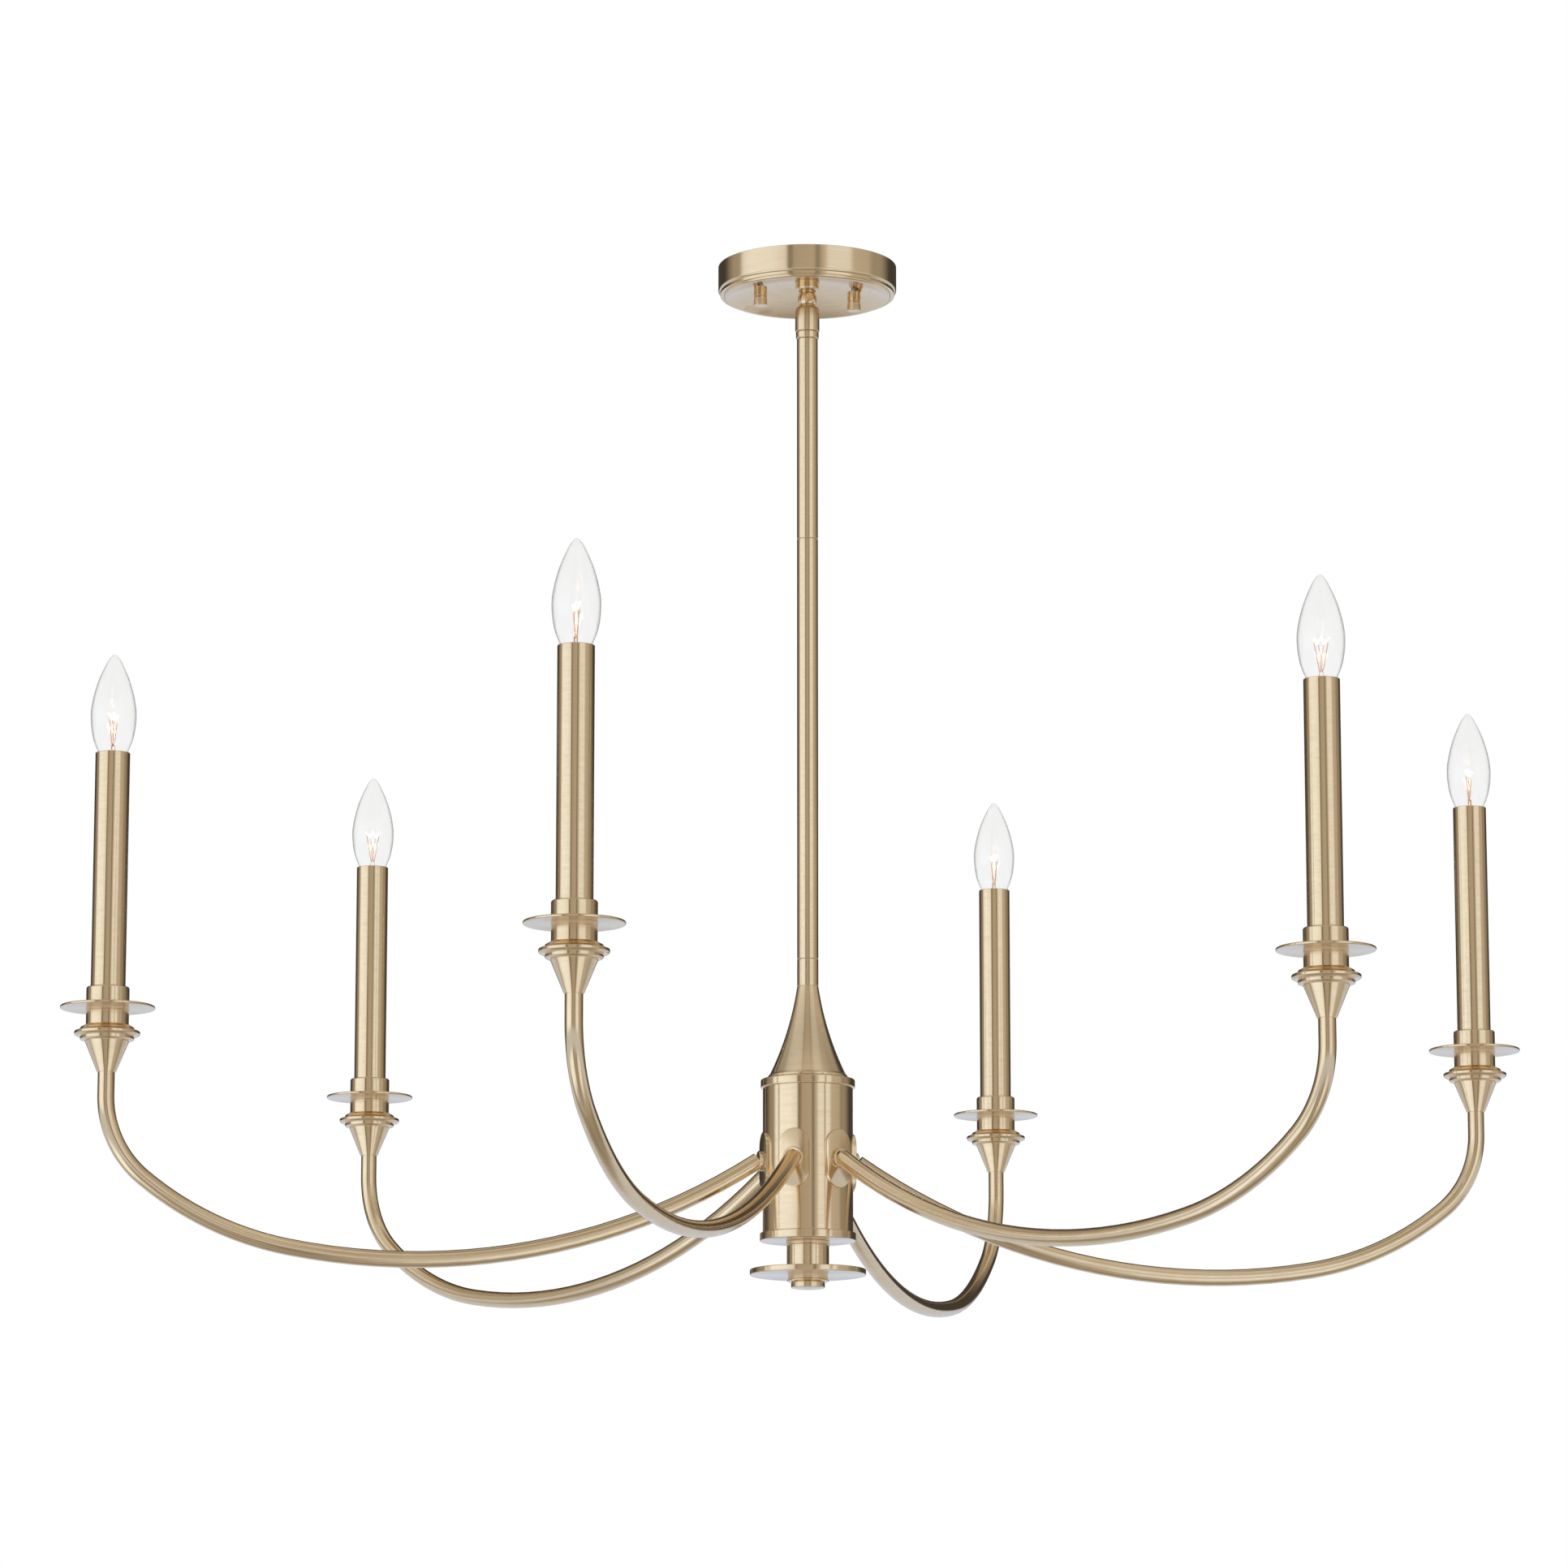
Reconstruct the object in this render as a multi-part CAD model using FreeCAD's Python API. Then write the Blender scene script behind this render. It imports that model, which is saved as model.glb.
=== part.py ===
"""Six-arm candle chandelier, hung from a ceiling canopy by a two-piece stem.

A shallow canopy pan covers a steel strap that screws to the ceiling's outlet box. A ball
knuckle under the pan tilts, and the coupler below it turns on the knuckle's shank, so that
the stem hangs plumb whichever way the light is turned. The stem carries a hub
with six swept arms, and each arm ends in a turned cup, a drip disc and a candle sleeve that
hides a small screw socket. Clear flame bulbs screw into the sockets. Wires run inside.

Frame: the origin is on the ceiling plane at the centre of the strap, +Z is up and arm 1
points along +X. Sizes are in millimetres.
"""

import FreeCAD, Part
import math
import os

Vector = FreeCAD.Vector
CENTRE = Vector(0, 0, 0)
UP = Vector(0, 0, 1)
SHARP = 0.0

# ---- driving dimensions -----------------------------------------------------------------
ARM_COUNT = 6
ARM_REACH = 500.0            # hub axis to candle axis
PIPE_THREAD_R = 4.85         # the lamp trade's 1/8 inch pipe thread
PIPE_BORE_R = 3.2
THREAD_GAP = 0.05
KNOB_SPACING = 69.85         # canopy knobs, 2 3/4 inches apart
KNOB_R = 4.9
KNOB_SPACER = 7.2            # length of the sleeve above a knob
KNOB_LENGTH = 7.0
STUD_ENGAGED = 5.0           # how far a stud reaches into its knob
BOX_SCREW_SPACING = 88.9     # outlet box screws, 3 1/2 inches apart

# canopy
CANOPY_R = 65.0
CANOPY_WALL = 1.4
CANOPY_SIDE = 19.5           # height of the straight side
BEAD_R = 61.0
BEAD_DEPTH = 23.2            # lowest point of the canopy's bead
DISH_R = 57.5
DISH_RISE = 12.1             # how far the underside rises to its middle
DISH_EDGE_Z = -22.6
DISH_TOP_Z = DISH_EDGE_Z + DISH_RISE
CANOPY_HOLE_R = 8.9

# strap
STRAP_LENGTH = 108.0
STRAP_WIDTH = 16.0
STRAP_THICK = 2.0
STRAP_DROP = 5.0             # how far the strap's middle sits below its ends
STRAP_MIDDLE = 22.0          # half length of the lowered middle
STRAP_RAMP = 5.0
SLOT_R = 2.3
SLOT_LENGTH = 9.2
STUD_R = 2.05

# swivel
COLLAR_R = 8.6
COLLAR_TOP_Z = -(STRAP_DROP + STRAP_THICK)
COLLAR_BOTTOM_Z = -17.6
COLLAR_MOUTH = 3.6           # depth of the collar's open mouth, where the ball's crown turns
COLLAR_MOUTH_R = 6.3
COLLAR_LEDGE = 2.6
SWIVEL_SHANK_R = 5.2
SWIVEL_HEAD_R = 6.9
SWIVEL_NECK_R = 5.8
BALL_R = 7.8
BALL_Z = -23.8
BALL_CAVITY_R = 5.0
BALL_RELIEF = 0.15
KNUCKLE_GAP = 0.05           # half the gap between the ball's two halves
PIN_R = 1.6
COUPLER_R = 8.8
SHOULDER_Z = BALL_Z - 6.2
COUPLER_TOP_Z = BALL_Z - 10.0
SHANK_LENGTH = 4.0
COUPLER_BOTTOM_Z = -48.6
COUPLER_RING_R = 8.3

# stem
STEM_R = 7.6
STEM_BORE_R = 6.4
STEM_PLUG = 14.0             # thick threaded length at each end of a stem tube
STEM_TOP_Z = -54.0
STEM_JOINT_Z = -203.6
STEM_FOOT_Z = -511.5
BELL_TOP_Z = -531.2

# hub
HUB_R = 32.1
HUB_WALL = 2.0
HUB_TOP_Z = -598.4
HUB_BOTTOM_Z = -713.9
RIM_HEIGHT = 6.0
TOP_RIM_R = 33.6
BOTTOM_RIM_R = 34.1
BELL_WALL = 1.3
POST_R = 15.0
DISC_R = 41.2
DISC_TOP_Z = -733.9
DISC_THICK = 4.2
COLLAR_FOOT_Z = -742.8
FINIAL_R = 12.0
FINIAL_Z = -747.2

# arms: three arcs that grow tighter towards the candle, then a short straight riser
ARM_R = 5.9
ARM_BORE_R = 4.7
ARM_Z = -657.4               # where an arm leaves the hub
ARM_BEND_RADII = (466.0, 223.0)
ARM_BEND_ANGLES = (9.9, 38.8, 90.0)
ARM_LOW_REACH = 291.3        # reach of the arm's lowest point
PLATE_FACE_R = 33.1          # hub axis to the flat face of an arm plate
PLATE_HEIGHT = 42.0
PLATE_WIDTH = 22.4
FERRULE_R = 7.3
FERRULE_LENGTH = 3.4

# candle, with heights counted from the middle of its drip disc
CANDLE_Z = -562.1
DRIP_R = 33.0
DRIP_THICK = 1.9
CONE_FOOT = -45.5
CONE_TOP = -23.4
CONE_FOOT_R = 6.5
CONE_SOCKET = 12.0           # how deep the arm's end sits in the cone
CUP_R = 14.9
CUP_FLOOR_Z = -12.6
CUP_FLOOR = 2.6
SLEEVE_R = 12.1
SLEEVE_BORE_R = 11.3
SLEEVE_TOP = 180.3
COLLAR_HEIGHT = 14.3
SOCKET_FOOT = 140.0
SOCKET_TOP = 168.6
SOCKET_R = 9.8

# bulb, a clear flame shape on a 12 mm screw base
BULB_R = 16.0
BULB_TIP = 251.0
BULB_BELLY = 206.5
BULB_FOOT = 169.0
BULB_NECK_R = 6.0
GLASS_WALL = 0.7
NOSE_R = 2.4
NOSE_ANGLE = 65
BASE_R = 5.9
BASE_FOOT = 149.0
TIP_FOOT = 146.0


# ---- helpers ----------------------------------------------------------------------------
def point(r, z):
    return Vector(r, 0, z)


def rounded_corner(before, corner, after, radius):
    """The three points of the arc that rounds a corner."""
    a = (before - corner).normalize()
    b = (after - corner).normalize()
    half = a.getAngle(b) / 2
    tangent = radius / math.tan(half)
    middle = (a + b).normalize() * (radius / math.sin(half) - radius)
    return corner + a * tangent, corner + middle, corner + b * tangent


def outline(corners):
    """A closed wire in the XZ plane. A corner is (r, z) or (r, z, rounding radius)."""
    points = [point(c[0], c[1]) for c in corners]
    radii = [c[2] if len(c) > 2 else SHARP for c in corners]
    count = len(corners)
    arcs = []
    for i in range(count):
        before, after = points[i - 1], points[(i + 1) % count]
        if radii[i] > 0:
            arcs.append(rounded_corner(before, points[i], after, radii[i]))
        else:
            arcs.append((points[i],))
    edges = []
    for i in range(count):
        if len(arcs[i]) == 3:
            edges.append(Part.Arc(*arcs[i]).toShape())
        start, end = arcs[i][-1], arcs[(i + 1) % count][0]
        if (end - start).Length > 1e-6:
            edges.append(Part.LineSegment(start, end).toShape())
    return Part.Wire(edges)


def spun(wire):
    """The solid that a closed wire in the XZ plane sweeps about Z."""
    return Part.Face(wire).revolve(CENTRE, UP, 360)


def turned(corners):
    return spun(outline(corners))


def tube(r_out, r_in, low, high):
    return turned([(r_in, low), (r_out, low), (r_out, high), (r_in, high)])


def rod(r, low, high, x=0.0, y=0.0):
    return Part.makeCylinder(r, high - low, Vector(x, y, low), UP)


def along_x(radius, start, end, z):
    return Part.makeCylinder(radius, end - start, Vector(start, 0, z), Vector(1, 0, 0))


def hex_bar(across_flats, low, high):
    corner = across_flats / math.sqrt(3)
    turn = math.radians(60)
    ring = [Vector(corner * math.cos(i * turn), corner * math.sin(i * turn), low)
            for i in range(7)]
    return Part.Face(Part.makePolygon(ring)).extrude(Vector(0, 0, high - low))


def lock_nut(low):
    """A thin hex nut for the 1/8 inch pipe thread."""
    across_flats = 14.0
    thick = 3.2
    bored = hex_bar(across_flats, low, low + thick)
    return bored.cut(rod(PIPE_THREAD_R + THREAD_GAP, low - 1, low + thick + 1))


def around(shape):
    """One copy of an arm-1 shape at each arm, as a list."""
    copies = []
    for i in range(ARM_COUNT):
        copy = shape.copy()
        copy.rotate(CENTRE, UP, 360 / ARM_COUNT * i)
        copies.append(copy)
    return copies


def moved(shape, x=0.0, y=0.0, z=0.0):
    copy = shape.copy()
    copy.translate(Vector(x, y, z))
    return copy


def at_candle(shape):
    """A candle piece, made about Z, moved to the end of arm 1."""
    return moved(shape, x=ARM_REACH, z=CANDLE_Z)


def upright_to_outward(shape):
    """Turns a piece made about Z so that its +Z points outwards along +X at arm height."""
    turned_out = shape.copy()
    turned_out.rotate(CENTRE, Vector(0, 1, 0), 90)
    return moved(turned_out, z=ARM_Z)


# ---- canopy and strap -------------------------------------------------------------------
def dish_arc(sag):
    """Radius-height points of the dished underside, raised by sag."""
    mid_r = (CANOPY_HOLE_R + DISH_R) / 2
    fall = DISH_RISE / (DISH_R ** 2)
    return [(r, DISH_TOP_Z - fall * r * r + sag) for r in (DISH_R, mid_r, CANOPY_HOLE_R)]


def canopy_pan():
    under = [point(*p) for p in dish_arc(0)]
    upper = [point(*p) for p in dish_arc(CANOPY_WALL)]
    lip_r, groove_r = CANOPY_R - 2.4, BEAD_R + 0.6
    lip_z, groove_z = -CANOPY_SIDE, -CANOPY_SIDE + 0.8
    side_z = -CANOPY_SIDE + 2.4
    inner_r = CANOPY_R - CANOPY_WALL
    bead_z = -BEAD_DEPTH
    edges = [
        Part.LineSegment(point(inner_r, 0), point(CANOPY_R, 0)),
        Part.LineSegment(point(CANOPY_R, 0), point(CANOPY_R, side_z)),
        Part.Arc(point(CANOPY_R, side_z), point(CANOPY_R - 0.7, side_z - 1.7), point(lip_r, lip_z)),
        Part.LineSegment(point(lip_r, lip_z), point(groove_r, groove_z)),
        Part.LineSegment(point(groove_r, groove_z), point(BEAD_R, groove_z)),
        Part.Arc(point(BEAD_R, groove_z), point(BEAD_R - 0.6, bead_z + 0.9), point(BEAD_R - 2.2, bead_z)),
        Part.LineSegment(point(BEAD_R - 2.2, bead_z), under[0]),
        Part.Arc(*under),
        Part.LineSegment(under[2], upper[2]),
        Part.Arc(upper[2], upper[1], upper[0]),
        Part.LineSegment(upper[0], point(inner_r, upper[0].z)),
        Part.LineSegment(point(inner_r, upper[0].z), point(inner_r, 0)),
    ]
    pan = spun(Part.Wire([e.toShape() for e in edges]))
    for side in (-1, 1):
        x = side * KNOB_SPACING / 2
        pan = pan.cut(rod(STUD_R + 0.3, -BEAD_DEPTH, 0, x))
    return [pan]


def strap_profile():
    """Half of the strap's centre line seen from the side, as (x, z of its top face)."""
    return [(0, -STRAP_DROP), (STRAP_MIDDLE, -STRAP_DROP),
            (STRAP_MIDDLE + STRAP_RAMP, 0), (STRAP_LENGTH / 2, 0)]


def mounting_strap():
    half = strap_profile()
    top = [(-x, z) for x, z in reversed(half)] + half[1:]
    ring = [point(x, z) for x, z in top] + [point(x, z - STRAP_THICK) for x, z in reversed(top)]
    blank = Part.Face(Part.makePolygon(ring + ring[:1])).extrude(Vector(0, STRAP_WIDTH, 0))
    blank.translate(Vector(0, -STRAP_WIDTH / 2, 0))
    cutters = [rod(PIPE_THREAD_R + THREAD_GAP, -20, 20), rod(1.7, -20, 20, 12.0)]
    for side in (-1, 1):
        cutters.append(rod(STUD_R + THREAD_GAP, -20, 20, side * KNOB_SPACING / 2))
        middle = side * BOX_SCREW_SPACING / 2
        reach = SLOT_LENGTH / 2 - SLOT_R
        cutters += [rod(SLOT_R, -20, 20, middle - reach), rod(SLOT_R, -20, 20, middle + reach)]
        cutters.append(Part.makeBox(2 * reach, 2 * SLOT_R, 40, Vector(middle - reach, -SLOT_R, -20)))
    for cutter in cutters:
        blank = blank.cut(cutter)
    return [blank]


def ground_screw():
    """The bonding screw in the strap, with its washer head below."""
    shank_r, head_r, x = 1.65, 3.4, 12.0
    z = -STRAP_DROP - STRAP_THICK
    head = rod(head_r, z - 1.6, z, x).cut(Part.makeBox(8, 0.9, 0.8, Vector(x - 4, -0.45, z - 1.6)))
    return [rod(shank_r, z, -STRAP_DROP + 1.5, x).fuse(head)]


def dish_z(r):
    """Height of the canopy's underside at a radius."""
    return DISH_TOP_Z - DISH_RISE * (r / DISH_R) ** 2


KNOB_TOP_Z = dish_z(KNOB_SPACING / 2 + KNOB_R) - 0.05
KNOB_JOINT_Z = KNOB_TOP_Z - KNOB_SPACER
KNOB_FOOT_Z = KNOB_JOINT_Z - KNOB_LENGTH


def canopy_studs():
    foot = KNOB_JOINT_Z - STUD_ENGAGED
    return [rod(STUD_R, foot, -0.4, side * KNOB_SPACING / 2) for side in (-1, 1)]


def knob_spacers():
    """The sleeves between the canopy and its cap nuts."""
    gap = STUD_R + THREAD_GAP
    spacer = turned([(gap, KNOB_JOINT_Z), (KNOB_R, KNOB_JOINT_Z, 0.4), (KNOB_R, KNOB_TOP_Z, 0.4),
                     (gap, KNOB_TOP_Z)])
    return [moved(spacer, side * KNOB_SPACING / 2) for side in (-1, 1)]


def canopy_knob(side):
    """A cap nut, closed below, that holds the canopy up on its stud."""
    gap = STUD_R + THREAD_GAP
    depth = KNOB_JOINT_Z - STUD_ENGAGED - 0.2
    nut = turned([(0, KNOB_FOOT_Z), (KNOB_R, KNOB_FOOT_Z, 0.7), (KNOB_R, KNOB_JOINT_Z, 0.5),
                  (gap, KNOB_JOINT_Z), (gap, depth), (0, depth)])
    groove = tube(KNOB_R + 1, KNOB_R - 0.35, KNOB_JOINT_Z - 1.6, KNOB_JOINT_Z - 1.0)
    return [moved(nut.cut(groove), side * KNOB_SPACING / 2)]


NIPPLE_FOOT_Z = COLLAR_TOP_Z - 2.4


def hang_nipple():
    return [tube(PIPE_THREAD_R, PIPE_BORE_R, NIPPLE_FOOT_Z, -0.8)]


def nipple_nut():
    return [lock_nut(-STRAP_DROP)]


WIRE_NUT_PLACES = ((-32.0, -25.0), (-9.0, -32.0), (16.0, -25.0))
WIRE_NUT_R = 3.9
WIRE_NUT_Z = -7.2
LEAD_R = 1.1


def wire_nut(x, y):
    """A wire connector lying on its side, open end towards +X."""
    long, mouth = 13.0, 7.0
    shell = Part.makeCone(WIRE_NUT_R * 0.62, WIRE_NUT_R, long - mouth, CENTRE, UP)
    skirt = rod(WIRE_NUT_R, long - mouth, long).cut(rod(WIRE_NUT_R * 0.7, long - mouth + 1, long + 1))
    cap = shell.fuse(skirt)
    cap.rotate(CENTRE, Vector(0, 1, 0), 90)
    cap.translate(Vector(x, y, WIRE_NUT_Z))
    return cap


def wire_nuts():
    return [wire_nut(x, y) for x, y in WIRE_NUT_PLACES]


def canopy_leads():
    """One insulated lead from each connector's mouth, tucked beside the strap."""
    leads = []
    for x, y in WIRE_NUT_PLACES:
        start = Vector(x + 9.0, y, WIRE_NUT_Z)
        mouth = start + Vector(9.0, 0, 0)
        bend = mouth + Vector(3.2, 1.4, 0)
        end = mouth + Vector(4.6, 4.6, 0)
        path = Part.Wire([Part.LineSegment(start, mouth).toShape(), Part.Arc(mouth, bend, end).toShape()])
        ring = Part.Wire([Part.makeCircle(LEAD_R, start, Vector(1, 0, 0))])
        leads.append(path.makePipeShell([ring], True, False))
    return leads


# ---- swivel -----------------------------------------------------------------------------
LEDGE_FOOT_Z = COLLAR_BOTTOM_Z + COLLAR_MOUTH
LEDGE_TOP_Z = LEDGE_FOOT_Z + COLLAR_LEDGE


def swivel_collar():
    """The cup that screws onto the nipple and holds the knuckle's head on its inner ledge."""
    opening = SWIVEL_SHANK_R + THREAD_GAP
    return [turned([
        (PIPE_THREAD_R + THREAD_GAP, COLLAR_TOP_Z), (COLLAR_R, COLLAR_TOP_Z, 0.4),
        (COLLAR_R, COLLAR_BOTTOM_Z, 2.2), (COLLAR_MOUTH_R, COLLAR_BOTTOM_Z),
        (COLLAR_MOUTH_R, LEDGE_FOOT_Z), (opening, LEDGE_FOOT_Z), (opening, LEDGE_TOP_Z),
        (SWIVEL_HEAD_R + 0.1, LEDGE_TOP_Z), (SWIVEL_HEAD_R + 0.1, NIPPLE_FOOT_Z),
        (PIPE_THREAD_R + THREAD_GAP, NIPPLE_FOOT_Z)])]


def half_space(side):
    """A large box on one side of the knuckle's split plane."""
    size = 60.0
    y = KNUCKLE_GAP if side > 0 else -size - KNUCKLE_GAP
    return Part.makeBox(size, size, size, Vector(-size / 2, y, BALL_Z - size / 2))


def knuckle(neck, side):
    """A neck joined to half of the hollow ball, relieved where the other half turns."""
    centre = Vector(0, 0, BALL_Z)
    gap = Part.makeBox(60, 2 * KNUCKLE_GAP, 60, Vector(-30, -KNUCKLE_GAP, BALL_Z - 30))
    other = half_space(-side).fuse(gap)
    relief = Part.makeSphere(BALL_R + BALL_RELIEF, centre).common(other)
    half_ball = Part.makeSphere(BALL_R, centre).common(half_space(side))
    joined = neck.cut(relief).fuse(half_ball)
    joined = joined.cut(Part.makeSphere(BALL_CAVITY_R, centre))
    joined = joined.cut(Part.makeCylinder(PIN_R + THREAD_GAP, 30, Vector(0, -15, BALL_Z), Vector(0, 1, 0)))
    seat = Part.makeCylinder(3.3, 4, Vector(0, side * (BALL_R - 1.4), BALL_Z), Vector(0, side, 0))
    return joined.cut(seat).removeSplitter()


def swivel_upper():
    head = LEDGE_TOP_Z + 1.9
    neck = turned([
        (2.6, head), (SWIVEL_HEAD_R, head), (SWIVEL_HEAD_R, LEDGE_TOP_Z),
        (SWIVEL_SHANK_R, LEDGE_TOP_Z), (SWIVEL_SHANK_R, LEDGE_FOOT_Z - 0.4),
        (SWIVEL_NECK_R, LEDGE_FOOT_Z - 0.4), (SWIVEL_NECK_R, BALL_Z + 3.0), (2.6, BALL_Z + 3.0)])
    return [knuckle(neck, 1)]


def swivel_lower():
    """The lower half of the knuckle: a shoulder, and a shank that the coupler turns on."""
    shank_foot = COUPLER_TOP_Z - SHANK_LENGTH
    neck = turned([
        (2.6, BALL_Z - 3.0), (SWIVEL_NECK_R, BALL_Z - 3.0), (SWIVEL_NECK_R, SHOULDER_Z + 0.6),
        (COUPLER_R, SHOULDER_Z, 3.0), (COUPLER_R, COUPLER_TOP_Z), (PIPE_THREAD_R, COUPLER_TOP_Z),
        (PIPE_THREAD_R, shank_foot), (2.6, shank_foot)])
    return [knuckle(neck, -1)]


def knuckle_screw():
    """The slotted screw through the ball, with its nut at the far side."""
    seat = BALL_R - 1.4
    shank = Part.makeCylinder(PIN_R, 2 * seat, Vector(0, -seat, BALL_Z), Vector(0, 1, 0))
    head = Part.makeCylinder(2.9, 1.5, Vector(0, -seat - 1.5, BALL_Z), Vector(0, 1, 0))
    slot = Part.makeBox(8, 0.9, 0.8, Vector(-4, -seat - 1.6, BALL_Z - 0.4))
    nut = Part.makeCylinder(2.9, 1.5, Vector(0, seat, BALL_Z), Vector(0, 1, 0))
    return [shank.fuse(head.cut(slot)).fuse(nut)]


def coupler():
    """The threaded coupler between knuckle and stem, and the ring below it."""
    thread = PIPE_THREAD_R + THREAD_GAP
    body = turned([(thread, COUPLER_BOTTOM_Z), (COUPLER_R, COUPLER_BOTTOM_Z, 0.4),
                   (COUPLER_R, COUPLER_TOP_Z), (thread, COUPLER_TOP_Z)])
    ring = turned([(STEM_R - 1.2, STEM_TOP_Z), (COUPLER_RING_R, STEM_TOP_Z, 0.7),
                   (COUPLER_RING_R, COUPLER_BOTTOM_Z, 0.7), (STEM_R - 1.2, COUPLER_BOTTOM_Z)])
    return [body, ring]


# ---- stem -------------------------------------------------------------------------------
def stem_tube(top, foot):
    """A stem tube with a threaded plug at each end."""
    bevel = 0.35
    thread = PIPE_THREAD_R + THREAD_GAP
    return turned([
        (thread, foot), (STEM_R, foot, bevel), (STEM_R, top, bevel), (thread, top),
        (thread, top - STEM_PLUG), (STEM_BORE_R, top - STEM_PLUG),
        (STEM_BORE_R, foot + STEM_PLUG), (thread, foot + STEM_PLUG)])


def stem_upper():
    return [stem_tube(STEM_TOP_Z, STEM_JOINT_Z)]


def stem_lower():
    return [stem_tube(STEM_JOINT_Z, STEM_FOOT_Z)]


def stem_nipples():
    half = 10.0
    top = tube(PIPE_THREAD_R, PIPE_BORE_R, STEM_TOP_Z - half, COUPLER_BOTTOM_Z + half)
    joint = tube(PIPE_THREAD_R, PIPE_BORE_R, STEM_JOINT_Z - half, STEM_JOINT_Z + half)
    return [top, joint]


def stem_end_collar():
    bevel = 0.35
    thread = PIPE_THREAD_R + THREAD_GAP
    return [turned([(thread, BELL_TOP_Z), (STEM_R, BELL_TOP_Z, bevel),
                    (STEM_R, STEM_FOOT_Z, bevel), (thread, STEM_FOOT_Z)])]


# ---- hub --------------------------------------------------------------------------------
BELL_FOOT_R = 28.0
BELL_LIP = 3.6
BELL_EDGE_R = 27.2
BELL_EDGE_Z = HUB_TOP_Z + BELL_LIP


def bell():
    """A thin flared cover between the stem and the hub, with a rolled lip."""
    thread = PIPE_THREAD_R + THREAD_GAP
    top_web = 3.0
    # the flare hollows by this much from the straight line between its ends
    mid_outer = point((STEM_R + BELL_EDGE_R) / 2 - 2.9, (BELL_TOP_Z + BELL_EDGE_Z) / 2 + 0.9)
    inner_top = point(STEM_R - 0.9, BELL_TOP_Z - top_web)
    inner_edge = point(BELL_EDGE_R - BELL_WALL, BELL_EDGE_Z)
    mid_inner = mid_outer + Vector(-BELL_WALL - 0.1, 0, -0.6)
    outer_top = point(STEM_R, BELL_TOP_Z)
    outer_edge = point(BELL_EDGE_R, BELL_EDGE_Z)
    foot = point(BELL_FOOT_R - 0.3, HUB_TOP_Z)
    edges = [
        Part.LineSegment(point(thread, BELL_TOP_Z), outer_top),
        Part.Arc(outer_top, mid_outer, outer_edge),
        Part.Arc(outer_edge, point(BELL_FOOT_R + 0.5, HUB_TOP_Z + BELL_LIP / 2), foot),
        Part.LineSegment(foot, point(inner_edge.x, HUB_TOP_Z)),
        Part.LineSegment(point(inner_edge.x, HUB_TOP_Z), inner_edge),
        Part.Arc(inner_edge, mid_inner, inner_top),
        Part.LineSegment(inner_top, point(thread, inner_top.z)),
        Part.LineSegment(point(thread, inner_top.z), point(thread, BELL_TOP_Z)),
    ]
    return [spun(Part.Wire([e.toShape() for e in edges]))]


SPIGOT_R = HUB_R - HUB_WALL - 0.05
SPIGOT = 3.0


def hub_top_plate():
    thread = PIPE_THREAD_R + THREAD_GAP
    low = HUB_TOP_Z - RIM_HEIGHT
    return [turned([(thread, low - SPIGOT), (SPIGOT_R, low - SPIGOT), (SPIGOT_R, low),
                    (TOP_RIM_R, low, 0.5), (TOP_RIM_R, HUB_TOP_Z, 0.9), (thread, HUB_TOP_Z)])]


def hub_bottom_plate():
    thread = PIPE_THREAD_R + THREAD_GAP
    high = HUB_BOTTOM_Z + RIM_HEIGHT
    return [turned([(thread, HUB_BOTTOM_Z), (BOTTOM_RIM_R, HUB_BOTTOM_Z, 0.5), (BOTTOM_RIM_R, high, 0.9),
                    (SPIGOT_R, high), (SPIGOT_R, high + SPIGOT), (thread, high + SPIGOT)])]


def hub_shell():
    shell = tube(HUB_R, HUB_R - HUB_WALL, HUB_BOTTOM_Z + RIM_HEIGHT, HUB_TOP_Z - RIM_HEIGHT)
    hole = along_x(PIPE_THREAD_R + THREAD_GAP, HUB_R - 10, HUB_R + 10, ARM_Z)
    for cutter in around(hole):
        shell = shell.cut(cutter)
    return [shell]


ROD_TOP_Z = STEM_FOOT_Z + 10.0
ROD_FOOT_Z = COLLAR_FOOT_Z - 1.5
WIRE_EXIT_Z = ARM_Z + 22.0


def centre_rod():
    """The threaded tube that clamps bell, hub, post and finial, with a side hole for wires."""
    stem = tube(PIPE_THREAD_R, PIPE_BORE_R, ROD_FOOT_Z, ROD_TOP_Z)
    return [stem.cut(along_x(2.2, 0, 10, WIRE_EXIT_Z))]


def bottom_post():
    thread = PIPE_THREAD_R + THREAD_GAP
    return [turned([(thread, DISC_TOP_Z), (POST_R, DISC_TOP_Z), (POST_R, HUB_BOTTOM_Z - 3.0, 0.3),
                    (POST_R + 0.5, HUB_BOTTOM_Z - 2.6, 0.3), (POST_R + 0.5, HUB_BOTTOM_Z, 0.3),
                    (thread, HUB_BOTTOM_Z)])]


def bottom_disc():
    thread = PIPE_THREAD_R + THREAD_GAP
    foot = DISC_TOP_Z - DISC_THICK
    return [turned([(thread, foot), (DISC_R, foot, 0.6), (DISC_R, DISC_TOP_Z, 0.6), (thread, DISC_TOP_Z)])]


def bottom_collar():
    thread = PIPE_THREAD_R + THREAD_GAP
    top = DISC_TOP_Z - DISC_THICK
    return [turned([(thread, COLLAR_FOOT_Z), (POST_R - 1.5, COLLAR_FOOT_Z), (POST_R, COLLAR_FOOT_Z + 0.6),
                    (POST_R, COLLAR_FOOT_Z + 1.4), (POST_R - 0.7, COLLAR_FOOT_Z + 1.9),
                    (POST_R - 0.7, top), (thread, top)])]


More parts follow.
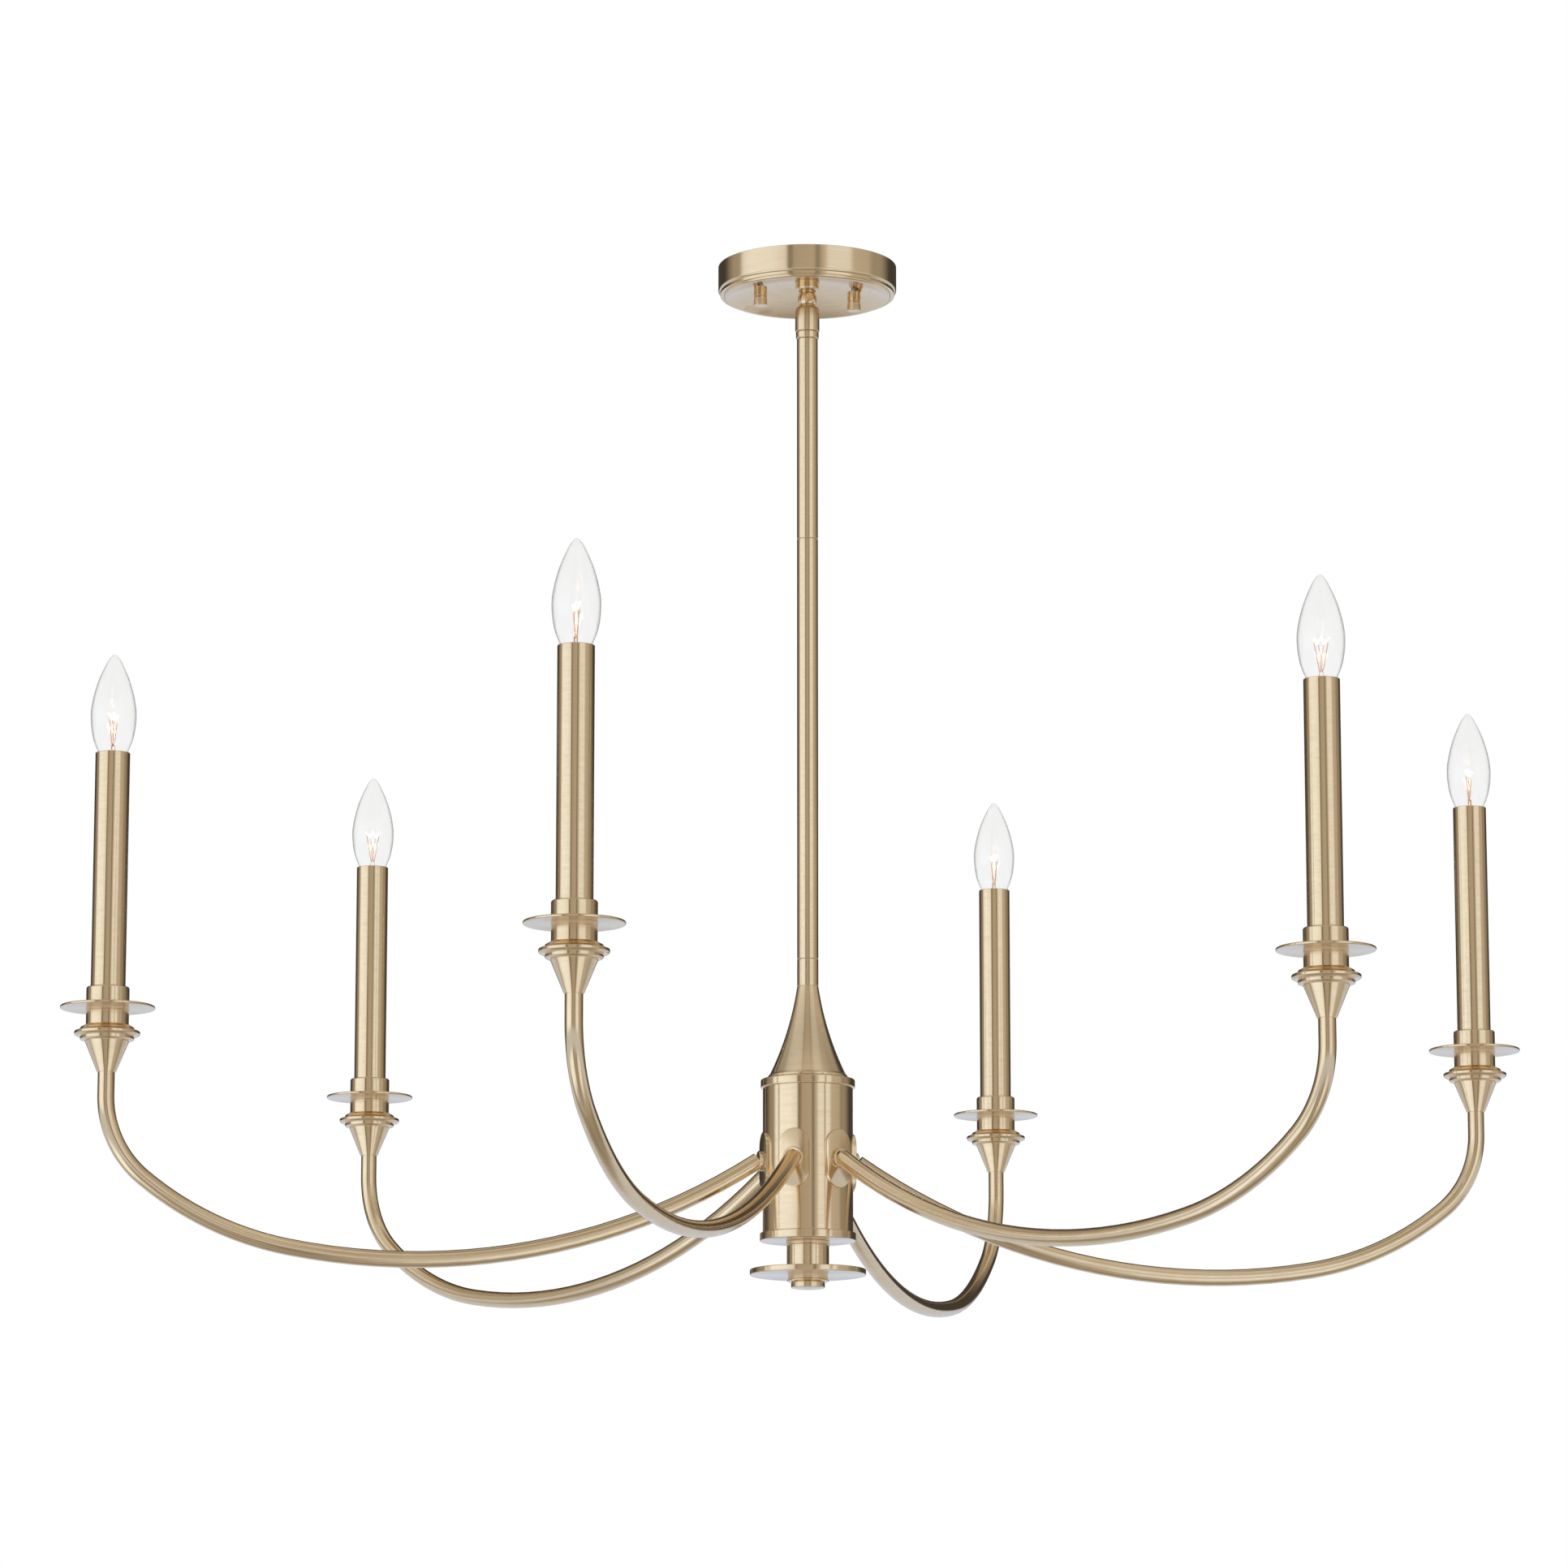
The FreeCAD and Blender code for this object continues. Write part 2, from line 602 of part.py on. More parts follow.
def finial_cap():
    """The closed nut at the foot of the rod."""
    thread = PIPE_THREAD_R + THREAD_GAP
    return [turned([(0, FINIAL_Z), (FINIAL_R, FINIAL_Z, 0.8), (FINIAL_R, COLLAR_FOOT_Z, 0.5),
                    (thread, COLLAR_FOOT_Z), (thread, ROD_FOOT_Z), (0, ROD_FOOT_Z)])]


def lock_nuts():
    """The thin nuts inside hub and cups: two on the rod, one on each arm and in each cup."""
    spigot_z = HUB_TOP_Z - RIM_HEIGHT - SPIGOT
    rod_nuts = [lock_nut(spigot_z - 3.2), lock_nut(HUB_BOTTOM_Z + RIM_HEIGHT + SPIGOT)]
    arm_nut = upright_to_outward(lock_nut(HUB_R - HUB_WALL - 4.4))
    cup_nut = at_candle(lock_nut(CUP_FLOOR_Z + CUP_FLOOR))
    return rod_nuts + around(arm_nut) + around(cup_nut)


# ---- arms -------------------------------------------------------------------------------
def next_on_arc(place, radius, begin, end):
    """The point that an upward-bending arc reaches from place, between two headings."""
    return point(place.x + radius * (math.sin(end) - math.sin(begin)),
                 place.z + radius * (math.cos(begin) - math.cos(end)))


def arm_path():
    """The arm's centre line in the XZ plane, as a wire, with its start and heading there."""
    first, second, last = (math.radians(a) for a in ARM_BEND_ANGLES)
    big, middle = ARM_BEND_RADII
    start_r = PLATE_FACE_R + FERRULE_LENGTH
    leave = -math.asin((ARM_LOW_REACH - start_r) / big)
    low_z = ARM_Z - big * (1 - math.cos(leave))
    used = big * math.sin(first) + middle * (math.sin(second) - math.sin(first))
    small = (ARM_REACH - ARM_LOW_REACH - used) / (1 - math.sin(second))
    lead_in = math.radians(2.0)      # the sweep starts inside the ferrule and is trimmed there
    start_heading = leave - lead_in
    start = next_on_arc(point(ARM_LOW_REACH, low_z), big, 0, start_heading)
    edges = []
    place = start
    for radius, begin, end in ((big, start_heading, first), (middle, first, second), (small, second, last)):
        halfway = next_on_arc(place, radius, begin, (begin + end) / 2)
        reached = next_on_arc(place, radius, begin, end)
        edges.append(Part.Arc(place, halfway, reached).toShape())
        place = reached
    top = point(place.x, CANDLE_Z + CONE_FOOT + CONE_SOCKET)
    edges.append(Part.LineSegment(place, top).toShape())
    return Part.Wire(edges), start, start_heading


def swept(radius):
    path, start, angle = arm_path()
    heading = Vector(math.cos(angle), 0, math.sin(angle))
    ring = Part.Wire([Part.makeCircle(radius, start, heading)])
    return path.makePipeShell([ring], True, False)


def trimmed(shape, reach):
    """A swept shape without what lies nearer the hub than reach."""
    return shape.cut(Part.makeBox(100, 100, 300, Vector(reach - 100, -50, ARM_Z - 150)))


def arm(i):
    blank = swept(ARM_R).cut(swept(ARM_BORE_R))
    return [around(trimmed(blank, PLATE_FACE_R + FERRULE_LENGTH))[i]]


def arm_plates():
    """Flat oval plates whose backs fit the round hub."""
    straight = PLATE_HEIGHT - PLATE_WIDTH
    r = PLATE_WIDTH / 2
    depth = 6.0
    corner = Vector(PLATE_FACE_R - depth, -r, ARM_Z - straight / 2)
    block = Part.makeBox(depth, PLATE_WIDTH, straight, corner)
    for end in (-1, 1):
        block = block.fuse(along_x(r, PLATE_FACE_R - depth, PLATE_FACE_R, ARM_Z + end * straight / 2))
    block = block.removeSplitter()
    block = block.cut(rod(HUB_R + 0.02, ARM_Z - 100, ARM_Z + 100))
    block = block.cut(along_x(PIPE_THREAD_R + THREAD_GAP, 0, 60, ARM_Z))
    return around(block)


def arm_ferrules():
    """Threaded stubs through plate and hub, each with a collar that the arm butts against."""
    inner = HUB_R - HUB_WALL - 6.0
    face = PLATE_FACE_R + FERRULE_LENGTH
    stub = turned([(PIPE_BORE_R, inner), (PIPE_THREAD_R, inner), (PIPE_THREAD_R, PLATE_FACE_R),
                   (FERRULE_R, PLATE_FACE_R, 0.4), (FERRULE_R, face, 0.9), (PIPE_BORE_R, face)])
    return around(upright_to_outward(stub))


# ---- candles ----------------------------------------------------------------------------
def candle_cones():
    """Solid cones that slip over the arm ends."""
    thread = PIPE_THREAD_R + THREAD_GAP
    socket_r, socket_top = ARM_R + 0.05, CONE_FOOT + CONE_SOCKET
    cone = turned([(socket_r, CONE_FOOT), (CONE_FOOT_R, CONE_FOOT), (15.3, CONE_TOP - 0.6, 0.5),
                   (15.3, CONE_TOP), (thread, CONE_TOP), (thread, socket_top), (socket_r, socket_top)])
    return around(at_candle(cone))


def cup_flanges():
    thread = PIPE_THREAD_R + THREAD_GAP
    flange = turned([
        (thread, CONE_TOP), (17.2, CONE_TOP), (18.8, CONE_TOP + 0.8, 0.5), (18.8, CONE_TOP + 3.2),
        (21.4, CONE_TOP + 3.2), (22.9, CONE_TOP + 4.4, 0.8), (22.9, CONE_TOP + 6.4, 0.8),
        (19.2, CONE_TOP + 7.6), (18.6, CONE_TOP + 9.2, 0.9), (15.6, CUP_FLOOR_Z), (thread, CUP_FLOOR_Z)])
    return around(at_candle(flange))


def candle_cups():
    thread = PIPE_THREAD_R + THREAD_GAP
    top = -DRIP_THICK / 2
    floor = CUP_FLOOR_Z + CUP_FLOOR
    bore = SLEEVE_R + 0.1
    cup = turned([
        (thread, CUP_FLOOR_Z), (CUP_R, CUP_FLOOR_Z), (CUP_R, top - 1.9), (CUP_R - 0.5, top - 1.7),
        (CUP_R - 0.5, top - 1.4), (CUP_R + 0.3, top - 1.3), (CUP_R + 0.3, top), (bore, top),
        (bore, floor), (thread, floor)])
    return around(at_candle(cup))


def bobeches():
    half = DRIP_THICK / 2
    disc = turned([(SLEEVE_R + 0.1, -half), (DRIP_R, -half, 0.7), (DRIP_R, half, 0.9),
                   (SLEEVE_R + 0.1, half)])
    return around(at_candle(disc))


def sleeve_collars():
    low = DRIP_THICK / 2
    collar = turned([(SLEEVE_R + 0.1, low), (CUP_R + 0.1, low), (CUP_R + 0.1, COLLAR_HEIGHT, 1.3),
                     (SLEEVE_R + 0.1, COLLAR_HEIGHT)])
    return around(at_candle(collar))


def candle_sleeves():
    low = CUP_FLOOR_Z + CUP_FLOOR
    sleeve = turned([(SLEEVE_BORE_R, low), (SLEEVE_R, low), (SLEEVE_R, SLEEVE_TOP, 0.5),
                     (SLEEVE_BORE_R, SLEEVE_TOP)])
    return around(at_candle(sleeve))


def candle_nipples():
    """The threaded tubes that clamp cone, flange and cup and carry the sockets."""
    low = CONE_FOOT + CONE_SOCKET + 1.0
    return around(at_candle(tube(PIPE_THREAD_R, PIPE_BORE_R, low, SOCKET_FOOT + 3.0)))


SHELL_R = 6.4
SHELL_BORE_R = 6.1


def lamp_sockets():
    thread = PIPE_THREAD_R + THREAD_GAP
    well = SHELL_R + 0.05
    body = turned([
        (thread, SOCKET_FOOT), (SOCKET_R, SOCKET_FOOT, 0.6), (SOCKET_R, SOCKET_TOP, 0.6), (well, SOCKET_TOP),
        (well, SOCKET_FOOT + 5.0), (2.0, SOCKET_FOOT + 5.0), (2.0, SOCKET_FOOT + 3.0),
        (thread, SOCKET_FOOT + 3.0)])
    return around(at_candle(body))


def socket_shells():
    """Each socket's brass screw shell and its centre contact, as separate solids."""
    shell = tube(SHELL_R, SHELL_BORE_R, SOCKET_FOOT + 8.0, SOCKET_TOP - 0.6)
    contact = rod(1.9, SOCKET_FOOT + 3.2, TIP_FOOT)
    return around(at_candle(shell)) + around(at_candle(contact))


# ---- bulbs ------------------------------------------------------------------------------
def flame_edges(inset):
    """The bulb's outline, moved in by inset: a curve up from the neck, then a round nose."""
    rise = BULB_TIP - BULB_BELLY
    nose_r, nose_z = NOSE_R - inset, BULB_TIP - NOSE_R

    def on_nose(degrees):
        angle = math.radians(degrees)
        return point(nose_r * math.sin(angle), nose_z + nose_r * math.cos(angle))

    side = [(BULB_NECK_R, BULB_FOOT), (BULB_NECK_R + 0.6, BULB_FOOT + 3.5), (10.3, SLEEVE_TOP + 0.6),
            (14.4, SLEEVE_TOP + 12.0), (BULB_R, BULB_BELLY), (14.7, BULB_BELLY + 0.27 * rise),
            (10.9, BULB_BELLY + 0.58 * rise), (5.2, BULB_BELLY + 0.87 * rise)]
    points = [point(r - inset, z) for r, z in side] + [on_nose(NOSE_ANGLE)]
    curve = Part.BSplineCurve()
    curve.interpolate(points)
    nose = Part.Arc(on_nose(NOSE_ANGLE), on_nose(NOSE_ANGLE / 2), on_nose(0))
    return curve.toShape(), nose.toShape()


def bulb_glass():
    outer, outer_nose = flame_edges(0)
    inner, inner_nose = flame_edges(GLASS_WALL)
    tip = Part.LineSegment(point(0, BULB_TIP - GLASS_WALL), point(0, BULB_TIP)).toShape()
    neck = point(BULB_NECK_R, BULB_FOOT)
    foot = Part.LineSegment(point(BULB_NECK_R - GLASS_WALL, BULB_FOOT), neck).toShape()
    ring = Part.__sortEdges__([outer, outer_nose, tip, inner_nose, inner, foot])
    return at_candle(spun(Part.Wire(ring)))


def bulb_base():
    """Screw shell, black insulator, contact, glass mount, lead wires and filament."""
    shell = turned([(BASE_R - 0.6, BASE_FOOT), (BASE_R, BASE_FOOT), (BASE_R, BULB_FOOT - 1.2),
                    (BULB_NECK_R + 0.05, BULB_FOOT), (BASE_R - 0.6, BULB_FOOT)])
    insulator = turned([(0, TIP_FOOT + 0.8), (2.2, TIP_FOOT + 0.8), (BASE_R - 0.6, BASE_FOOT),
                        (BASE_R - 0.6, BASE_FOOT + 1.5), (0, BASE_FOOT + 1.5)])
    contact = rod(1.8, TIP_FOOT + 0.05, TIP_FOOT + 0.8)
    mount = turned([(0, BULB_FOOT - 4.0), (4.0, BULB_FOOT - 4.0), (1.8, BULB_FOOT + 8.0),
                    (1.5, BULB_FOOT + 18.0, 0.5), (0, BULB_FOOT + 18.0)])
    wire_r, lean, high = 0.25, 5.0, BULB_BELLY + 1.0
    wires = []
    for side in (-1, 1):
        foot = Vector(side * 2.6, 0, BULB_FOOT + 6.0)
        run = Vector(side * lean, 0, high) - foot
        wires.append(Part.makeCylinder(wire_r, run.Length, foot, run))
    filament = Part.makeCylinder(0.35, 2 * lean - 1.2, Vector(-lean + 0.6, 0, high - 0.6), Vector(1, 0, 0))
    return [at_candle(s) for s in (shell, insulator, contact, mount, *wires, filament)]


# ---- wires ------------------------------------------------------------------------------
def lamp_wires():
    """The cord down the stem to the rod's side hole, and a twin lead inside each arm."""
    cord = rod(2.3, WIRE_EXIT_Z - 2.0, COUPLER_BOTTOM_Z + 2.0)
    leads = around(trimmed(swept(2.2), PLATE_FACE_R + FERRULE_LENGTH + 1.0))
    return [cord] + leads


# ---- write ------------------------------------------------------------------------------
NODES = {
    "canopy_pan": canopy_pan, "mounting_strap": mounting_strap, "ground_screw": ground_screw,
    "canopy_studs": canopy_studs, "knob_spacers": knob_spacers,
    "canopy_knob_1": lambda: canopy_knob(1), "canopy_knob_2": lambda: canopy_knob(-1),
    "hang_nipple": hang_nipple,
    "nipple_nut": nipple_nut, "wire_nuts": wire_nuts, "canopy_leads": canopy_leads,
    "swivel_collar": swivel_collar, "swivel_upper": swivel_upper, "swivel_lower": swivel_lower,
    "knuckle_screw": knuckle_screw, "coupler": coupler, "stem_upper": stem_upper,
    "stem_lower": stem_lower, "stem_nipples": stem_nipples, "stem_end_collar": stem_end_collar,
    "bell": bell, "hub_top_plate": hub_top_plate, "hub_shell": hub_shell,
    "hub_bottom_plate": hub_bottom_plate, "centre_rod": centre_rod, "lock_nuts": lock_nuts,
    "bottom_post": bottom_post, "bottom_disc": bottom_disc, "bottom_collar": bottom_collar,
    "finial_cap": finial_cap, "arm_plates": arm_plates, "arm_ferrules": arm_ferrules,
    "candle_cones": candle_cones, "cup_flanges": cup_flanges, "candle_cups": candle_cups,
    "bobeches": bobeches, "sleeve_collars": sleeve_collars, "candle_sleeves": candle_sleeves,
    "candle_nipples": candle_nipples, "lamp_sockets": lamp_sockets, "socket_shells": socket_shells,
    "lamp_wires": lamp_wires,
}


def write(name, solids):
    """Writes a node's solids to parts/, after testing that each is one closed solid."""
    for solid in solids:
        if len(solid.Solids) != 1 or not solid.isValid() or solid.Volume <= 0:
            raise ValueError(f"{name}: a piece isn't one valid solid")
    shape = Part.makeCompound([s.Solids[0] for s in solids]) if len(solids) > 1 else solids[0].Solids[0]
    shape.exportStep(f"parts/{name}.step")


def main():
    os.makedirs("parts", exist_ok=True)
    for name, make in NODES.items():
        write(name, make())
    glass, base = bulb_glass(), bulb_base()
    base_copies = [around(piece) for piece in base]
    for i in range(ARM_COUNT):
        write(f"arm_{i + 1}", arm(i))
        write(f"bulb_{i + 1}_glass", [around(glass)[i]])
        write(f"bulb_{i + 1}_base", [copies[i] for copies in base_copies])


main()
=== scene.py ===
"""The looks of a six-arm candle chandelier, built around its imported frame.

The file is laid out as an add-on. Property groups hold the sizes and colours that a user would
change, each group of like pieces has an operator, and main() runs the operators in order.
Outlines are in millimetres, as (radius, height) or (radius, height, rounding). Meshes, and all
that the property groups hold, are in metres.
"""

import math

import bmesh
import bpy
from bpy.props import FloatProperty, FloatVectorProperty, IntProperty, PointerProperty
from mathutils import Matrix, Vector


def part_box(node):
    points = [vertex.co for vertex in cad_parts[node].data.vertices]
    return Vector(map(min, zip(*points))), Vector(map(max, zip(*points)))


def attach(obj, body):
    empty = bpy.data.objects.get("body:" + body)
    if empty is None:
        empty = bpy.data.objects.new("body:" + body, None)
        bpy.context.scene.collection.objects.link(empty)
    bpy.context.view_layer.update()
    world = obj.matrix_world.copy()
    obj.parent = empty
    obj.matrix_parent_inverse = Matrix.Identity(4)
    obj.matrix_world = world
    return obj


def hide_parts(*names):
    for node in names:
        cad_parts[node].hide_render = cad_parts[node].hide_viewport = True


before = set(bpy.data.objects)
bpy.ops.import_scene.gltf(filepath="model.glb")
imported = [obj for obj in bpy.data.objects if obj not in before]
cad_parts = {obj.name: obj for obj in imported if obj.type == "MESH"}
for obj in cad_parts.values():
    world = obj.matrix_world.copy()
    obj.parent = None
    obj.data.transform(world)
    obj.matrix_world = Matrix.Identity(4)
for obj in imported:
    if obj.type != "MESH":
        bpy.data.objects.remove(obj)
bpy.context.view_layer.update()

bl_info = {
    "name": "Candle Chandelier",
    "version": (1, 0, 0),
    "blender": (4, 5, 0),
    "location": "3D View > Sidebar > Chandelier",
    "description": "Builds the pieces, finishes and stage of a six-arm candle chandelier",
    "category": "Object",
}

MM = 0.001
TURN = 2 * math.pi
UV = "wrap"                    # U once round a turned piece, V in metres along its outline
SHARP = math.radians(32)       # edges bent more than this stay crisp
THREAD_BORE = 4.9              # millimetres: hole of a piece that screws on a threaded pipe
LACQUER_ROUGHNESS = 0.16

ROOT = "ceiling_mount"
SWIVEL = "swivel"
CHANDELIER = "chandelier"
ARMS = range(1, 7)


# ---- places, read from the frame, in millimetres ------------------------------------------
def low(node):
    """Height of a node's foot."""
    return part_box(node)[0].z / MM


def high(node):
    """Height of a node's top."""
    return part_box(node)[1].z / MM


def wide(node):
    """Outer radius of a node that is turned about the main axis."""
    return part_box(node)[1].x / MM


def middle(node, axis):
    """Middle of a node along one axis."""
    bottom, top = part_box(node)
    return (bottom[axis] + top[axis]) / 2 / MM


CANDLE_X = middle("bulb_1_glass", 0)
DRIP_Z = middle("bobeches", 2)
ARM_Z = middle("arm_ferrules", 2)
BALL_Z = middle("knuckle_screw", 2)
KNOB_X = middle("canopy_knob_1", 0)


def candle_radius(node):
    """Outer radius of a piece that is turned about the candle's axis."""
    return wide(node) - CANDLE_X


def candle_low(node):
    """Height of a node's foot above the middle of the drip disc."""
    return low(node) - DRIP_Z


def candle_high(node):
    """Height of a node's top above the middle of the drip disc."""
    return high(node) - DRIP_Z


# ---- settings ---------------------------------------------------------------------------
def length(name, description, millimetres):
    """A size, given here in millimetres."""
    return FloatProperty(name=name, description=description, default=millimetres * MM, min=0.0,
                         unit="LENGTH", subtype="DISTANCE", precision=5)


def share(name, description, default):
    return FloatProperty(name=name, description=description, default=default, min=0.0, max=1.0,
                         subtype="FACTOR")


def colour(name, description, default):
    return FloatVectorProperty(name=name, description=description, default=default, size=3,
                               min=0.0, max=1.0, subtype="COLOR")


class BrassFinish(bpy.types.PropertyGroup):
    """The lacquered, brushed brass of every outside part."""

    light: colour("Light", "Colour of the brass on the tops of its brush lines",
                  (0.84, 0.635, 0.385))
    dark: colour("Dark", "Colour of the brass in its brush lines", (0.78, 0.575, 0.335))
    smooth: share("Smooth", "Roughness of the smoothest brush lines", 0.13)
    rough: share("Rough", "Roughness of the coarsest brush lines", 0.20)
    brushing: share("Brushing", "How much turned parts smear highlights across their brush lines",
                    0.85)
    lacquer: share("Lacquer", "Weight of the clear lacquer", 0.12)
    line: length("Line", "Spacing of the brush lines", 0.35)


class OtherFinishes(bpy.types.PropertyGroup):
    """Steel, plastics and glass."""

    zinc: colour("Zinc", "Zinc plate on the strap and nuts", (0.62, 0.63, 0.64))
    nickel: colour("Nickel", "Nickel plate on the bulbs' caps", (0.78, 0.76, 0.72))
    shell: colour("Shell", "Bare brass of the socket shells", (0.78, 0.58, 0.28))
    green: colour("Green", "Paint on the bonding screw", (0.05, 0.32, 0.12))
    nut: colour("Nut", "Plastic of the wire connectors", (0.75, 0.28, 0.05))
    cable: colour("Cable", "Insulation of the leads", (0.055, 0.05, 0.045))
    socket: colour("Socket", "Moulded plastic of the lamp sockets", (0.80, 0.76, 0.66))
    insulator: colour("Insulator", "Dark glass at the foot of a bulb's cap", (0.02, 0.02, 0.022))
    lead: colour("Lead", "Coppery wires inside a bulb", (0.72, 0.42, 0.25))
    glow: colour("Glow", "Light of a burning filament", (1.0, 0.78, 0.48))
    glow_strength: FloatProperty(name="Glow strength", default=9.0, min=0.0,
                                 description="Strength of a burning filament")


class CanopySizes(bpy.types.PropertyGroup):
    """The ceiling canopy and its knobs."""

    wall: length("Wall", "Thickness of the canopy's sheet", 1.4)
    lip: length("Lip", "Rounding of the canopy's lower lip", 2.4)
    bead: length("Bead", "How far the bead stands in from the side", 4.0)
    knurl: length("Knurl", "Depth of the knobs' knurling", 0.16)
    knurls: IntProperty(name="Knurls", description="Diamonds round a knob", default=26, min=6)


class ArmSizes(bpy.types.PropertyGroup):
    """The bends of an arm, from the hub outwards."""

    tube: length("Tube", "Outer radius of the arm's tube", 5.9)
    first_bend: length("First bend", "Radius of the bend that leaves the hub", 466.0)
    second_bend: length("Second bend", "Radius of the bend past the lowest point", 223.0)
    first_angle: FloatProperty(name="First angle", default=math.radians(9.9), subtype="ANGLE",
                               description="Heading at the end of the first bend")
    second_angle: FloatProperty(name="Second angle", default=math.radians(38.8), subtype="ANGLE",
                                description="Heading at the end of the second bend")
    low_reach: length("Low reach", "Distance of the arm's lowest point from the axis", 291.3)
    sides: IntProperty(name="Sides", description="Faces round the tube", default=40, min=8)


class BulbSizes(bpy.types.PropertyGroup):
    """A clear flame bulb."""

    wall: length("Wall", "Thickness of the glass", 0.6)
    thread: length("Thread", "Pitch of the cap's thread", 2.54)
    thread_depth: length("Thread depth", "Depth of the cap's thread", 0.35)
    lead: length("Lead", "Radius of the lead wires", 0.3)
    coil: length("Coil", "Radius of the filament's coil", 0.8)
    coil_wire: length("Coil wire", "Radius of the filament's wire", 0.25)
    fan: FloatProperty(name="Fan", description="How far the lead wires' fan is turned",
                       default=math.radians(47), subtype="ANGLE")


class StageSettings(bpy.types.PropertyGroup):
    """Floor, light and camera."""

    floor: colour("Floor", "Colour of the floor", (0.80, 0.80, 0.79))
    floor_drop: length("Floor drop", "Height of the ceiling above the floor", 2700.0)
    strength: FloatProperty(name="Strength", description="Strength of the soft boxes", default=1.0,
                            min=0.0)
    eye: FloatVectorProperty(name="Eye", description="Where the camera stands",
                             default=(-0.9443, -4.1873, -1.1794), subtype="TRANSLATION")
    target: FloatVectorProperty(name="Target", description="What the camera looks at",
                                default=(-0.0166, 0.0037, -0.3837), subtype="TRANSLATION")
    lens: FloatProperty(name="Lens", description="Focal length in millimetres", default=139.3,
                        min=1.0)


SETTINGS = {"brass": BrassFinish, "others": OtherFinishes, "canopy": CanopySizes, "arm": ArmSizes,
            "bulb": BulbSizes, "stage": StageSettings}


def settings(part):
    """The scene's own copy of one property group."""
    return getattr(bpy.context.scene, "chandelier_" + part)


# ---- outlines ---------------------------------------------------------------------------
def arc(centre, start, sweep, steps):
    """Points of an arc in the outline's plane, from start, turning by sweep."""
    spoke = start - centre
    found = []
    for k in range(steps + 1):
        c, s = math.cos(sweep * k / steps), math.sin(sweep * k / steps)
        found.append(centre + Vector((spoke.x * c - spoke.y * s, spoke.x * s + spoke.y * c)))
    return found


def rounded(corners):
    """The points of a closed outline. Each rounding gets a close neighbour on the flats beside it,
    which keeps smooth shading from spreading over them."""
    close, room = 0.12, 0.2
    coarsest = math.radians(20)
    places = [Vector(c[:2]) for c in corners]
    count = len(places)
    halves, reaches = [], []
    for i, c in enumerate(corners):
        back = places[i - 1] - places[i]
        ahead = places[(i + 1) % count] - places[i]
        half = back.angle(ahead) / 2
        halves.append(half)
        reaches.append(c[2] / math.tan(half) if len(c) > 2 else 0.0)
    points = []
    for i, c in enumerate(corners):
        here, before, after = places[i], places[i - 1], places[(i + 1) % count]
        if not reaches[i]:
            points.append(here)
            continue
        back, ahead = (before - here).normalized(), (after - here).normalized()
        centre = here + (back + ahead).normalized() * (c[2] / math.sin(halves[i]))
        bend = math.pi - 2 * halves[i]
        side = 1 if back.cross(ahead) < 0 else -1
        steps = max(2, math.ceil(bend / coarsest))
        found = arc(centre, here + back * reaches[i], side * bend, steps)
        spare = [(before - here).length - reaches[i] - reaches[i - 1],
                 (after - here).length - reaches[i] - reaches[(i + 1) % count]]
        if spare[0] > room:
            found.insert(0, found[0] + back * min(close, spare[0] / 3))
        if spare[1] > room:
            found.append(found[-1] + ahead * min(close, spare[1] / 3))
        points += found
    return points


def bowed(start, through, end, steps):
    """Points of the arc from start to end that passes through a third point."""
    a, b, c = Vector(start), Vector(through), Vector(end)
    d = 2 * (a.x * (b.y - c.y) + b.x * (c.y - a.y) + c.x * (a.y - b.y))
    aa, bb, cc = (p.length_squared for p in (a, b, c))
    centre = Vector(((aa * (b.y - c.y) + bb * (c.y - a.y) + cc * (a.y - b.y)) / d,
                     (aa * (c.x - b.x) + bb * (a.x - c.x) + cc * (b.x - a.x)) / d))
    sweep = (a - centre).angle_signed(c - centre)
    return arc(centre, a, -sweep, steps)


def flowing(knots, steps):
    """A smooth line through its knots, each span cut into steps."""
    line = [2 * Vector(knots[0]) - Vector(knots[1])] + [Vector(k) for k in knots]
    line.append(2 * line[-1] - line[-2])
    points = []
    for a, b, c, d in zip(line, line[1:], line[2:], line[3:]):
        for k in range(steps):
            t = k / steps
            points.append(0.5 * (2 * b + (c - a) * t + (2 * a - 5 * b + 4 * c - d) * t * t
                                 + (3 * b - a - 3 * c + d) * t ** 3))
    return points + [line[-2]]


# ---- meshes -----------------------------------------------------------------------------
def show(name, mesh):
    """A new object of the scene that holds a mesh."""
    piece = bpy.data.objects.new(name, mesh)
    bpy.context.scene.collection.objects.link(piece)
    return piece


def shade(mesh):
    """Smooth faces, with crisp edges where the surface turns a corner."""
    mesh.polygons.foreach_set("use_smooth", [True] * len(mesh.polygons))
    mesh.set_sharp_from_angle(angle=SHARP)
    return mesh


def tidied(mesh):
    """Merges doubles, turns every face outwards and sets the shading."""
    work = bmesh.new()
    work.from_mesh(mesh)
    bmesh.ops.remove_doubles(work, verts=work.verts, dist=1e-7)
    bmesh.ops.recalc_face_normals(work, faces=work.faces)
    work.to_mesh(mesh)
    work.free()
    return shade(mesh)


